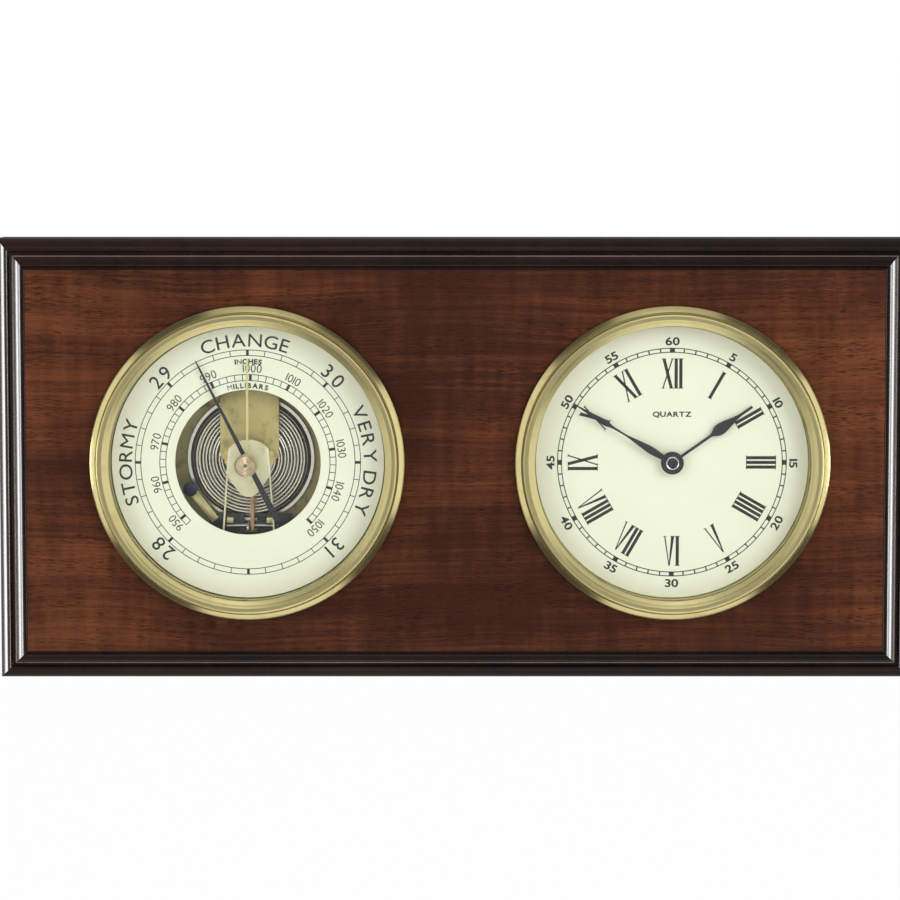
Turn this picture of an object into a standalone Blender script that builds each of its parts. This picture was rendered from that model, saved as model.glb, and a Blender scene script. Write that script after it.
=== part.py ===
"""Barometer and clock set in one moulded wall plaque: the solids, in metres, +Z up, front towards -Y.

Every piece is drawn as it is seen from the front: local X to the right, local Y up and local Z
towards the viewer, with local Z = 0 on the front of the plaque's panel. stand_up() then turns the
drawing upright. The origin is the middle of the plaque's flat back.
"""

import math

import bmesh
import bpy

# Clearances between neighbours
GAP = 0.0003
RUN = 0.0001
OVERCUT = 0.010

# Plaque
BOARD_WIDTH = 0.306
BOARD_HEIGHT = 0.148
BOARD_THICK = 0.026
LIPPING_WIDTH = 0.0106
LIPPING_ROUND_WIDTH = 0.0042
LIPPING_ROUND_HEIGHT = 0.0059
LIPPING_EDGE_DROP = 0.0095
LIPPING_STEP_INSET = 0.0063
LIPPING_STEP_DROP = 0.0028
LIPPING_QUIRK_DROP = 0.0042
VENEER_THICK = 0.0008
INSERT_PITCH = 0.1413
PAIR_SHIFT = 0.0016
PAIR_DROP = 0.0006

# Hanger let into the back
HANGER_WIDTH = 0.016
HANGER_LENGTH = 0.036
HANGER_THICK = 0.0015
HANGER_TOP_INSET = 0.034
KEYHOLE_HEAD_RADIUS = 0.0046
KEYHOLE_SLOT_RADIUS = 0.0023
KEYHOLE_TRAVEL = 0.008
KEYHOLE_POCKET_DEPTH = 0.010
HANGER_SCREW_INSET = 0.0045
HANGER_SCREW_RADIUS = 0.0032
HANGER_SHANK_RADIUS = 0.0015
HANGER_SCREW_LENGTH = 0.012

# Round inserts: the case drives the bezel, the glass and the dial
CASE_RADIUS = 0.0465
CASE_WALL = 0.0008
SKIRT_CLEARANCE = 0.0007
SKIRT_WALL = 0.0010
SKIRT_DEPTH = 0.0080
HOLE_CLEARANCE = 0.0006
LIP_WIDTH = 0.0019
BAND_WIDTH = 0.0023
FLANGE_WIDTH = 0.0024
FLANGE_HEIGHT = 0.0030
BEZEL_HEIGHT = 0.0056
SIGHT_INSET = 0.0007
GLASS_LEVEL = 0.0012
GLASS_THICK = 0.0016
DIAL_DEPTH = 0.0030
DIAL_THICK = 0.0005
GRIP_DEPTH = 0.0120
GRIP_LENGTH = 0.0080

# Barometer: levels from the back of the case forward
BARO_CASE_DEPTH = 0.0250
BASE_RAISE = 0.0016
BASE_THICK = 0.0012
BASE_FOOT_RADIUS = 0.0025
BASE_FOOT_CIRCLE = 0.0370
SPACER_WALL = 0.0010
DIAL_HOLE_RADIUS = 0.02425
CAPSULE_RADIUS = 0.0215
CAPSULE_HEIGHT = 0.0061
CAPSULE_RIM_WIDTH = 0.0013
CAPSULE_RIM_THICK = 0.0010
CAPSULE_HUB_RADIUS = 0.0032
CAPSULE_WAVES = 7
CAPSULE_LAND = 0.0009
CAPSULE_WAVE_HEIGHT = 0.0005
POST_RADIUS = 0.0020
SPRING_STANDOFF = 0.0028
SPRING_THICK = 0.0008
SPRING_WIDTH = 0.0198
SPRING_ROOT = 0.0292
SPRING_TAPER_START = 0.0010
SPRING_TONGUE_START = -0.0050
SPRING_TONGUE_WIDTH = 0.0044
SPRING_TIP = -0.0120
SPRING_BLOCK_HEIGHT = 0.0060

# Barometer: bridge, cock and arbor
BRIDGE_BEHIND_DIAL = 0.0017
BRIDGE_THICK = 0.0006
BRIDGE_HALF_WIDTH = 0.0067
BRIDGE_WAIST_HALF_WIDTH = 0.0075
BRIDGE_SHOULDER = 0.0044
BRIDGE_TOP = 0.0074
BRIDGE_WAIST = -0.0043
BRIDGE_TAIL = -0.0119
BRIDGE_TAIL_HALF_WIDTH = 0.0014
BRIDGE_TAIL_ROUND = 0.0022
BRIDGE_FOLD_DEPTH = 0.0020
BRIDGE_FOLD_THICK = 0.0006
BRIDGE_ARM_WIDTH = 0.0008
BRIDGE_FOOT_OUT = 0.0086
BRIDGE_FOOT_DOWN = -0.0274
BRIDGE_FOOT_RADIUS = 0.0018
PILLAR_RADIUS = 0.0014
COCK_SETBACK = 0.0028
COCK_THICK = 0.0006
COCK_HALF_WIDTH = 0.0083
COCK_TOP = 0.0034
COCK_BOTTOM = -0.0016
COCK_CORNER = 0.0012
COCK_POST_RADIUS = 0.0006
ARBOR_RADIUS = 0.0006
ARBOR_PIVOT_RADIUS = 0.0004
DRUM_RADIUS = 0.0003
DRUM_FLANGE_RADIUS = 0.0009
DRUM_LENGTH = 0.0006
DRUM_BEHIND_BRIDGE = 0.0017
HAIRSPRING_INNER = 0.00105
HAIRSPRING_PITCH = 0.00066
HAIRSPRING_TURNS = 4.45
HAIRSPRING_WIRE_RADIUS = 0.00012
HAIRSPRING_BEHIND_BRIDGE = 0.0007
HAIRSPRING_POINTS_A_TURN = 14

# Barometer: rocking shaft below the capsule
ROCKER_DOWN = -0.0225
ROCKER_LEVER = 0.0056
ROCKER_SHAFT_RADIUS = 0.0007
ROCKER_PIVOT_RADIUS = 0.0004
ROCKER_EYE_RADIUS = 0.0013
ROCKER_BRACKET_HALF_WIDTH = 0.0140
ROCKER_BRACKET_TOP = -0.0186
ROCKER_BRACKET_BOTTOM = -0.0254
ROCKER_BRACKET_THICK = 0.0006
ROCKER_LEG_WIDTH = 0.0026
ROCKER_LEG_HEIGHT = 0.0030
ROCKER_EAR_INSET = 0.0080
ROCKER_EAR_THICK = 0.0012
ROCKER_NOTCH_HALF_WIDTH = 0.0022
INPUT_ARM_ACROSS = 0.0009
INPUT_ARM_WIDTH = 0.0012
INPUT_ARM_THICK = 0.0007
INPUT_ARM_TOP = -0.0105
OUTPUT_ARM_WIDTH = 0.0006
LINK_GAP = 0.0004
CHAIN_RADIUS = 0.0001
TRIM_SCREW_ACROSS = -0.0201
TRIM_SCREW_DOWN = -0.01005
TRIM_SCREW_RADIUS = 0.0024
TRIM_HEAD_HEIGHT = 0.0014
TRIM_HEAD_EDGE = 0.0003
TRIM_SHANK_RADIUS = 0.0009
TRIM_ARM_WIDTH = 0.0028
TRIM_FOOT_ACROSS = -0.0118
TRIM_FOOT_DOWN = -0.0206

# Barometer: pointers and the two screws that a hand turns
POINTER_ANGLE = -26.9
POINTER_LENGTH = 0.0381
POINTER_TAIL = 0.0215
POINTER_HALF_WIDTH = 0.0008
POINTER_TIP_HALF_WIDTH = 0.0003
POINTER_TAIL_HALF_WIDTH = 0.0014
POINTER_THICK = 0.0003
POINTER_BEFORE_DIAL = 0.0011
POINTER_HUB_RADIUS = 0.0026
SET_POINTER_LENGTH = 0.0350
SET_POINTER_WIDTH = 0.0008
SET_POINTER_THICK = 0.0003
SET_POINTER_HUB_RADIUS = 0.0024
SET_WASHER_RADIUS = 0.0020
SET_WASHER_THICK = 0.0006
KNOB_RADIUS = 0.0038
KNOB_HEIGHT = 0.0062
KNOB_EDGE = 0.0006
KNOB_UNDERCUT = 0.0010
KNOB_NECK_RADIUS = 0.0016
KNOB_FOOT_RADIUS = 0.0026
KNOB_FOOT_THICK = 0.0006
KNOB_SPINDLE_RADIUS = 0.0011
ADJUSTER_HEAD_RADIUS = 0.0022
ADJUSTER_SHANK_RADIUS = 0.0012
ADJUSTER_SLOT = 0.0006
ADJUSTER_SLOT_DEPTH = 0.0008
VENT_RADIUS = 0.0015
VENT_UP = 0.0300

# Clock
CLOCK_CASE_DEPTH = 0.0210
CLOCK_SEAT_WIDTH = 0.0031
CLOCK_SEAT_THICK = 0.0008
MOVEMENT_SIDE = 0.0560
MOVEMENT_CORNER = 0.0040
MOVEMENT_COVER_THICK = 0.0019
MOVEMENT_DEPTH = 0.0175
BUSH_RADIUS = 0.0029
BUSH_WALL = 0.0006
BUSH_NUT_WALL = 0.0007
BUSH_NUT_THICK = 0.0005
PIPE_WALL = 0.0008
HOUR_BEFORE_DIAL = 0.0011
HAND_THICK = 0.0004
HAND_STEP = 0.0010
HOUR_ANGLE = 54.8
HOUR_LENGTH = 0.0325
HOUR_STEM_HALF_WIDTH = 0.00045
HOUR_LEAF_HALF_WIDTH = 0.00192
HOUR_TIP_HALF_WIDTH = 0.0003
HOUR_HUB_RADIUS = 0.0036
MINUTE_ANGLE = -59.0
MINUTE_LENGTH = 0.0387
MINUTE_STEM_HALF_WIDTH = 0.00034
MINUTE_SWELL_HALF_WIDTH = 0.00125
MINUTE_SPEAR_HALF_WIDTH = 0.0010
MINUTE_HUB_RADIUS = 0.0038
HAND_NUT_RADIUS = 0.0023
HAND_NUT_HEIGHT = 0.0009
BATTERY_RADIUS = 0.00715
BATTERY_LENGTH = 0.0502
BATTERY_NUB_RADIUS = 0.0027
BATTERY_NUB_LENGTH = 0.0010
BATTERY_DOWN = -0.0175
CONTACT_THICK = 0.0004
CONTACT_CLEARANCE = 0.0005
CONTACT_HEIGHT = 0.0090
SETTER_ACROSS = 0.0096
SETTER_UP = 0.0090
SETTER_RADIUS = 0.0055
SETTER_HEIGHT = 0.0055
SETTER_SHAFT_RADIUS = 0.0013
SETTER_PROUD = 0.0035
SETTER_EDGE = 0.0006

# Smoothness
RING_STEPS = 64
DISC_STEPS = 48
CAPSULE_STEPS = 40
PIN_STEPS = 24

# Places that follow from the sizes above
BARO = (PAIR_SHIFT - INSERT_PITCH / 2, -PAIR_DROP)
CLOCK = (PAIR_SHIFT + INSERT_PITCH / 2, -PAIR_DROP)
CENTRE = (0.0, 0.0)
HANGER_HEIGHT = BOARD_HEIGHT / 2 - HANGER_TOP_INSET
BACK = -BOARD_THICK
PANEL_Y = -BOARD_THICK
CASE_BORE = CASE_RADIUS - CASE_WALL
SKIRT_BORE = CASE_RADIUS + SKIRT_CLEARANCE
SKIRT_RADIUS = SKIRT_BORE + SKIRT_WALL
HOLE_RADIUS = SKIRT_RADIUS + HOLE_CLEARANCE
SIGHT_RADIUS = CASE_RADIUS - SIGHT_INSET
BEZEL_RADIUS = SIGHT_RADIUS + LIP_WIDTH + BAND_WIDTH + FLANGE_WIDTH
GLASS_RADIUS = SKIRT_BORE - GAP
GLASS_FRONT = GLASS_LEVEL + GLASS_THICK
CASE_RIM = GLASS_LEVEL - GAP
DIAL_RADIUS = CASE_BORE - GAP
DIAL_FRONT = -DIAL_DEPTH
DIAL_BACK = DIAL_FRONT - DIAL_THICK
BARO_CASE_BACK = -BARO_CASE_DEPTH
BARO_FLOOR = BARO_CASE_BACK + CASE_WALL
BASE_BACK = BARO_FLOOR + BASE_RAISE
BASE_FRONT = BASE_BACK + BASE_THICK
ON_BASE = BASE_FRONT + GAP
CAPSULE_FRONT = ON_BASE + CAPSULE_HEIGHT
SPRING_BACK = CAPSULE_FRONT + SPRING_STANDOFF
SPRING_FRONT = SPRING_BACK + SPRING_THICK
SPRING_AXIS_UP = SPRING_ROOT + GAP / 2
SPRING_AXIS_LEVEL = SPRING_BACK + SPRING_THICK / 2
BRIDGE_FRONT = DIAL_BACK - BRIDGE_BEHIND_DIAL
BRIDGE_BACK = BRIDGE_FRONT - BRIDGE_THICK
COCK_FRONT = BRIDGE_BACK - COCK_SETBACK
COCK_BACK = COCK_FRONT - COCK_THICK
HAIRSPRING_OUTER = HAIRSPRING_INNER + HAIRSPRING_PITCH * HAIRSPRING_TURNS
HAIRSPRING_END = 2 * math.pi * HAIRSPRING_TURNS
COCK_POST_DISTANCE = HAIRSPRING_OUTER + HAIRSPRING_WIRE_RADIUS + GAP + COCK_POST_RADIUS
COCK_POST_OUT = abs(COCK_POST_DISTANCE * math.cos(HAIRSPRING_END))
COCK_POST_UP = abs(COCK_POST_DISTANCE * math.sin(HAIRSPRING_END))
DRUM_LEVEL = BRIDGE_BACK - DRUM_BEHIND_BRIDGE - DRUM_LENGTH / 2
HAIRSPRING_LEVEL = BRIDGE_BACK - HAIRSPRING_BEHIND_BRIDGE
ROCKER_LEVEL = DRUM_LEVEL - ROCKER_LEVER
BRACKET_BACK = CAPSULE_FRONT
BRACKET_FRONT = BRACKET_BACK + ROCKER_BRACKET_THICK
CHAIN_ACROSS = -(DRUM_RADIUS + CHAIN_RADIUS + RUN / 2)
POINTER_BACK = DIAL_FRONT + POINTER_BEFORE_DIAL
POINTER_FRONT = POINTER_BACK + POINTER_THICK
SET_POINTER_FRONT = GLASS_LEVEL - GAP - SET_WASHER_THICK - GAP
SET_POINTER_BACK = SET_POINTER_FRONT - SET_POINTER_THICK
MOVEMENT_FRONT = DIAL_BACK - GAP
COVER_BACK = MOVEMENT_FRONT - MOVEMENT_COVER_THICK
BODY_FRONT = COVER_BACK - GAP
MOVEMENT_BACK = MOVEMENT_FRONT - MOVEMENT_DEPTH
NUT_BACK = DIAL_FRONT + GAP
NUT_FRONT = NUT_BACK + BUSH_NUT_THICK
PIPE_RADIUS = BUSH_RADIUS - BUSH_WALL - RUN
MINUTE_ARBOR_RADIUS = PIPE_RADIUS - PIPE_WALL - RUN
HOUR_BACK = DIAL_FRONT + HOUR_BEFORE_DIAL
HOUR_FRONT = HOUR_BACK + HAND_THICK
MINUTE_BACK = HOUR_BACK + HAND_STEP
MINUTE_FRONT = MINUTE_BACK + HAND_THICK
BATTERY_LEVEL = MOVEMENT_BACK + BATTERY_RADIUS
BAY_HALF_LENGTH = BATTERY_LENGTH / 2 + CONTACT_CLEARANCE + CONTACT_THICK + GAP

WALNUT = (0.030, 0.018, 0.012)
MAHOGANY = (0.110, 0.030, 0.016)
GOLD = (0.62, 0.53, 0.30)
STEEL = (0.55, 0.55, 0.56)
CREAM = (0.86, 0.86, 0.72)
BLACK = (0.012, 0.012, 0.015)
DULL_BRASS = (0.34, 0.29, 0.15)


def collection(name):
    """A collection of this name in the scene."""
    made = bpy.data.collections.new(name)
    bpy.context.scene.collection.children.link(made)
    return made


def material(name, colour, metallic=0.0, roughness=0.5, alpha=1.0):
    """A Principled BSDF material."""
    made = bpy.data.materials.new(name)
    made.use_nodes = True
    shader = made.node_tree.nodes["Principled BSDF"]
    shader.inputs["Base Color"].default_value = (*colour, 1.0)
    shader.inputs["Metallic"].default_value = metallic
    shader.inputs["Roughness"].default_value = roughness
    shader.inputs["Alpha"].default_value = alpha
    made.diffuse_color = (*colour, alpha)
    return made


def stand_up(obj, centre, across=0.0, up=0.0, level=0.0):
    """Turn a piece drawn from the front upright, its origin at this place on its insert."""
    obj.rotation_euler = (math.pi / 2, 0.0, 0.0)
    obj.location = (centre[0] + across, PANEL_Y - level, centre[1] + up)


def finish(obj, look, smooth=False):
    """Give a piece its own material, and smooth shading where it is round."""
    colour, metallic, roughness = look
    obj.data.materials.clear()
    obj.data.materials.append(material(obj.name, colour, metallic, roughness))
    if obj.type == "MESH":
        for face in obj.data.polygons:
            face.use_smooth = smooth


def new_object(name, data, helper=False):
    """Link an object to the parts, or as a hidden helper to the cutters."""
    obj = bpy.data.objects.new(name, data)
    if helper:
        CUTTERS.objects.link(obj)
        obj.hide_render = True
        obj.display_type = "WIRE"
    else:
        PARTS.objects.link(obj)
    return obj


def mesh_object(name, bm, helper=False):
    """An object from a bmesh, its normals facing out."""
    bmesh.ops.recalc_face_normals(bm, faces=bm.faces)
    mesh = bpy.data.meshes.new(name)
    bm.to_mesh(mesh)
    bm.free()
    return new_object(name, mesh, helper)


def block(name, across, up, level, helper=False):
    """A box between two values on each axis."""
    bm = bmesh.new()
    bmesh.ops.create_cube(bm, size=1.0)
    for vert in bm.verts:
        for axis, (low, high) in enumerate((across, up, level)):
            vert.co[axis] = high if vert.co[axis] > 0 else low
    return mesh_object(name, bm, helper)


def turned(name, profile, closed=False, steps=RING_STEPS, helper=False):
    """A Screw modifier on a profile of (radius, level) points, its outer side running down."""
    count = len(profile)
    area = 0.0
    for index in range(count):
        here = profile[index]
        following = profile[(index + 1) % count]
        area += here[0] * following[1] - following[0] * here[1]
    points = list(profile) if area < 0 else list(reversed(profile))
    edges = [(index, index + 1) for index in range(count - 1)]
    if closed:
        edges.append((count - 1, 0))
    mesh = bpy.data.meshes.new(name)
    mesh.from_pydata([(radius, 0.0, level) for radius, level in points], edges, [])
    obj = new_object(name, mesh, helper)
    screw = obj.modifiers.new("turn", "SCREW")
    screw.axis = "Z"
    screw.angle = 2 * math.pi
    screw.steps = steps
    screw.render_steps = steps
    screw.use_merge_vertices = True
    screw.merge_threshold = 0.000001
    screw.use_smooth_shade = True
    return obj


def rod(name, radius, low, high, steps=PIN_STEPS, helper=False):
    """A plain cylinder along local Z."""
    return turned(name, [(0.0, high), (radius, high), (radius, low), (0.0, low)], False, steps, helper)


def ring(name, inner, outer, low, high, steps=RING_STEPS, helper=False):
    """A plain ring round local Z."""
    profile = [(inner, high), (outer, high), (outer, low), (inner, low)]
    return turned(name, profile, True, steps, helper)


def circle(across, up, radius, count):
    """Points round a circle."""
    points = []
    for index in range(count):
        angle = 2 * math.pi * index / count
        points.append((across + radius * math.cos(angle), up + radius * math.sin(angle)))
    return points


def swung(points, degrees):
    """Points turned clockwise about the centre, as a pointer is."""
    angle = math.radians(degrees)
    cosine = math.cos(angle)
    sine = math.sin(angle)
    return [(x * cosine + y * sine, y * cosine - x * sine) for x, y in points]


def plate(name, outlines, low, high, helper=False):
    """A flat piece: a filled 2D curve, extruded, with inner outlines left open, made into a mesh."""
    curve = bpy.data.curves.new(name, "CURVE")
    curve.dimensions = "2D"
    curve.fill_mode = "BOTH"
    curve.extrude = (high - low) / 2
    for outline in outlines:
        spline = curve.splines.new("POLY")
        spline.points.add(len(outline) - 1)
        for point, (x, y) in zip(spline.points, outline):
            point.co = (x, y, 0.0, 1.0)
        spline.use_cyclic_u = True
    drawn = bpy.data.objects.new(name + "_curve", curve)
    CUTTERS.objects.link(drawn)
    graph = bpy.context.evaluated_depsgraph_get()
    mesh = bpy.data.meshes.new_from_object(drawn.evaluated_get(graph))
    bpy.data.objects.remove(drawn)
    bm = bmesh.new()
    bm.from_mesh(mesh)
    bmesh.ops.translate(bm, verts=bm.verts, vec=(0.0, 0.0, (low + high) / 2))
    bmesh.ops.remove_doubles(bm, verts=bm.verts, dist=0.000001)
    return mesh_object(name, bm, helper)


def side_plate(name, outline, across, width):
    """A flat piece whose outline is seen from the side: (up, level) points, its width along local X."""
    bm = bmesh.new()
    verts = [bm.verts.new((across - width / 2, up, level)) for up, level in outline]
    face = bm.faces.new(verts)
    pushed = bmesh.ops.extrude_face_region(bm, geom=[face])
    moved = [item for item in pushed["geom"] if isinstance(item, bmesh.types.BMVert)]
    bmesh.ops.translate(bm, verts=moved, vec=(width, 0.0, 0.0))
    return mesh_object(name, bm)


def boolean(obj, other, operation):
    """An exact Boolean with a helper, which stands where the piece stands."""
    other.rotation_euler = obj.rotation_euler
    other.location = obj.location
    modifier = obj.modifiers.new(operation.lower(), "BOOLEAN")
    modifier.operation = operation
    modifier.solver = "EXACT"
    modifier.object = other


def cut(obj, other):
    """Take a helper's shape out of a piece."""
    boolean(obj, other, "DIFFERENCE")


def join(obj, other):
    """Make a helper's shape one with a piece."""
    boolean(obj, other, "UNION")


def rounded_square(side, corner, steps=5):
    """Outline of a square with rounded corners, counter-clockwise from the right side."""
    reach = side / 2 - corner
    points = []
    for quarter, (sx, sy) in enumerate(((1, 1), (-1, 1), (-1, -1), (1, -1))):
        for index in range(steps + 1):
            angle = math.pi / 2 * (quarter + index / steps)
            points.append((sx * reach + corner * math.cos(angle), sy * reach + corner * math.sin(angle)))
    return points


def lipping_section():
    """Moulding section as (inset from the plaque's edge, level) points, starting at the back edge."""
    points = [(0.0, BACK), (0.0, -LIPPING_EDGE_DROP)]
    for index in range(1, 6):
        angle = math.pi / 2 * index / 5
        inset = LIPPING_ROUND_WIDTH * (1 - math.cos(angle))
        level = LIPPING_ROUND_HEIGHT * math.sin(angle) - LIPPING_EDGE_DROP
        points.append((inset, level))
    quirk = (LIPPING_STEP_INSET - LIPPING_ROUND_WIDTH) * 0.25
    points.append((LIPPING_ROUND_WIDTH + quirk, -LIPPING_QUIRK_DROP))
    points.append((LIPPING_STEP_INSET - quirk, -LIPPING_QUIRK_DROP))
    points.append((LIPPING_STEP_INSET, -LIPPING_STEP_DROP))
    inner = LIPPING_WIDTH - GAP - LIPPING_STEP_INSET
    for index in range(1, 6):
        angle = math.pi / 2 * index / 5
        inset = LIPPING_STEP_INSET + inner * (1 - math.cos(angle))
        level = (LIPPING_STEP_DROP - GAP) * math.sin(angle) - LIPPING_STEP_DROP
        points.append((inset, level))
    points.append((LIPPING_WIDTH, -GAP))
    points.append((LIPPING_WIDTH, BACK))
    return points


def lipping(name, length, reach, degrees):
    """One mitred moulding: the section drawn at both ends, each point set in along its mitre."""
    section = lipping_section()
    bm = bmesh.new()
    ends = []
    for side in (-1, 1):
        loop = []
        for inset, level in section:
            along = side * (length / 2 - inset - GAP * 0.75)
            x, y = swung([(along, reach - inset)], degrees)[0]
            loop.append(bm.verts.new((x, y, level)))
        ends.append(loop)
        bm.faces.new(loop)
    for index in range(len(section)):
        following = (index + 1) % len(section)
        corners = (ends[0][index], ends[0][following], ends[1][following], ends[1][index])
        bm.faces.new(corners)
    obj = mesh_object(name, bm)
    stand_up(obj, CENTRE)
    finish(obj, (WALNUT, 0.0, 0.25))


def build_board():
    """The core, its veneer and the four mouldings."""
    half_width = BOARD_WIDTH / 2 - LIPPING_WIDTH - GAP
    half_height = BOARD_HEIGHT / 2 - LIPPING_WIDTH - GAP
    core_front = -VENEER_THICK - GAP
    across = (-half_width, half_width)
    up = (-half_height, half_height)
    core = block("board_core", across, up, (BACK, core_front))
    stand_up(core, CENTRE)
    veneer = block("face_veneer", across, up, (-VENEER_THICK, 0.0))
    stand_up(veneer, CENTRE)
    for insert in (BARO, CLOCK):
        outline = circle(insert[0], insert[1], HOLE_RADIUS, RING_STEPS)
        cut(core, plate("core_hole", [outline], BACK - OVERCUT, OVERCUT, True))
        cut(veneer, plate("veneer_hole", [outline], BACK, OVERCUT, True))
    build_hanger(core)
    finish(core, (MAHOGANY, 0.0, 0.6))
    finish(veneer, (MAHOGANY, 0.0, 0.3))
    lipping("lipping_top", BOARD_WIDTH, BOARD_HEIGHT / 2, 0.0)
    lipping("lipping_right", BOARD_HEIGHT, BOARD_WIDTH / 2, 90.0)
    lipping("lipping_bottom", BOARD_WIDTH, BOARD_HEIGHT / 2, 180.0)
    lipping("lipping_left", BOARD_HEIGHT, BOARD_WIDTH / 2, 270.0)


def keyhole():
    """Outline of the keyhole, with its round entry below and its slot above."""
    entry = KEYHOLE_HEAD_RADIUS
    slot = KEYHOLE_SLOT_RADIUS
    middle = HANGER_HEIGHT - KEYHOLE_TRAVEL / 2
    start = math.asin(slot / entry)
    points = []
    for index in range(17):
        angle = math.pi / 2 + start + (2 * math.pi - 2 * start) * index / 16
        points.append((entry * math.cos(angle), middle + entry * math.sin(angle)))
    for index in range(9):
        angle = math.pi * index / 8
        points.append((slot * math.cos(angle), middle + KEYHOLE_TRAVEL + slot * math.sin(angle)))
    return points


def build_hanger(core):
    """Keyhole plate flush in the back of the core, over a pocket for the head of a wall screw."""
    low = HANGER_HEIGHT - HANGER_LENGTH / 2
    high = HANGER_HEIGHT + HANGER_LENGTH / 2
    outer = BACK + GAP / 3
    inner = outer + HANGER_THICK
    half = HANGER_WIDTH / 2
    recess_across = (-half - GAP, half + GAP)
    recess_up = (low - GAP, high + GAP)
    cut(core, block("hanger_recess", recess_across, recess_up, (BACK - OVERCUT, inner + GAP), True))
    pocket_half = KEYHOLE_HEAD_RADIUS + GAP
    entry_up = HANGER_HEIGHT - KEYHOLE_TRAVEL / 2
    pocket_up = (entry_up - pocket_half, entry_up + KEYHOLE_TRAVEL + pocket_half)
    pocket_level = (BACK - OVERCUT, inner + KEYHOLE_POCKET_DEPTH)
    cut(core, block("screw_head_pocket", (-pocket_half, pocket_half), pocket_up, pocket_level, True))
    hanger = block("hanger_plate", (-half, half), (low, high), (outer, inner))
    stand_up(hanger, CENTRE)
    cut(hanger, plate("keyhole_cutter", [keyhole()], outer - OVERCUT, inner + OVERCUT, True))
    for name, place in (("lower", low + HANGER_SCREW_INSET), ("upper", high - HANGER_SCREW_INSET)):
        head = [
            (0.0, outer),
            (HANGER_SCREW_RADIUS, outer),
            (HANGER_SHANK_RADIUS, inner),
            (HANGER_SHANK_RADIUS, outer + HANGER_SCREW_LENGTH),
            (0.0, outer + HANGER_SCREW_LENGTH + HANGER_SHANK_RADIUS),
        ]
        screw = turned("hanger_screw_" + name, head, False, PIN_STEPS)
        stand_up(screw, CENTRE, 0.0, place)
        finish(screw, (STEEL, 1.0, 0.4), True)
        wide = [
            (0.0, outer - OVERCUT),
            (HANGER_SCREW_RADIUS + GAP, outer - OVERCUT),
            (HANGER_SCREW_RADIUS + GAP, outer),
            (HANGER_SHANK_RADIUS + GAP, inner),
            (HANGER_SHANK_RADIUS + GAP, outer + HANGER_SCREW_LENGTH),
            (0.0, outer + HANGER_SCREW_LENGTH + HANGER_SHANK_RADIUS + GAP * 2),
        ]
        for piece in (hanger, core):
            cutter = turned("screw_hole_" + name, wide, False, PIN_STEPS, True)
            cut(piece, cutter)
            stand_up(cutter, CENTRE, 0.0, place)
    finish(hanger, (STEEL, 1.0, 0.4))


def build_bezel(name, centre):
    """Spun ring: a flat flange, a rounded band, a lip over the glass and a skirt round the case."""
    band = SIGHT_RADIUS + LIP_WIDTH
    step = band + BAND_WIDTH
    seat = GLASS_FRONT + GAP
    lip = seat + (BEZEL_HEIGHT - seat) * 0.3
    rise = BEZEL_HEIGHT - FLANGE_HEIGHT
    profile = [
        (BEZEL_RADIUS, GAP),
        (BEZEL_RADIUS, FLANGE_HEIGHT * 0.4),
        (BEZEL_RADIUS - FLANGE_WIDTH * 0.25, FLANGE_HEIGHT * 0.7),
        (BEZEL_RADIUS - FLANGE_WIDTH * 0.60, FLANGE_HEIGHT * 0.9),
        (step, FLANGE_HEIGHT),
        (step, FLANGE_HEIGHT + rise * 0.45),
        (step - BAND_WIDTH * 0.15, FLANGE_HEIGHT + rise * 0.75),
        (step - BAND_WIDTH * 0.50, BEZEL_HEIGHT),
        (band, BEZEL_HEIGHT - rise * 0.05),
        (SIGHT_RADIUS, lip),
        (SIGHT_RADIUS, seat),
        (SKIRT_BORE, seat),
        (SKIRT_BORE, -SKIRT_DEPTH),
        (SKIRT_RADIUS, -SKIRT_DEPTH),
        (SKIRT_RADIUS, GAP),
    ]
    bezel = turned(name, profile, True)
    stand_up(bezel, centre)
    finish(bezel, (GOLD, 1.0, 0.25), True)


def build_grip(name, centre):
    """Rubber ring that holds the case in the plaque's hole."""
    rear = -GRIP_DEPTH - GRIP_LENGTH
    grip = ring(name, CASE_RADIUS + GAP, HOLE_RADIUS - GAP, rear, -GRIP_DEPTH, DISC_STEPS)
    stand_up(grip, centre)
    finish(grip, (BLACK, 0.0, 0.8), True)


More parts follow.
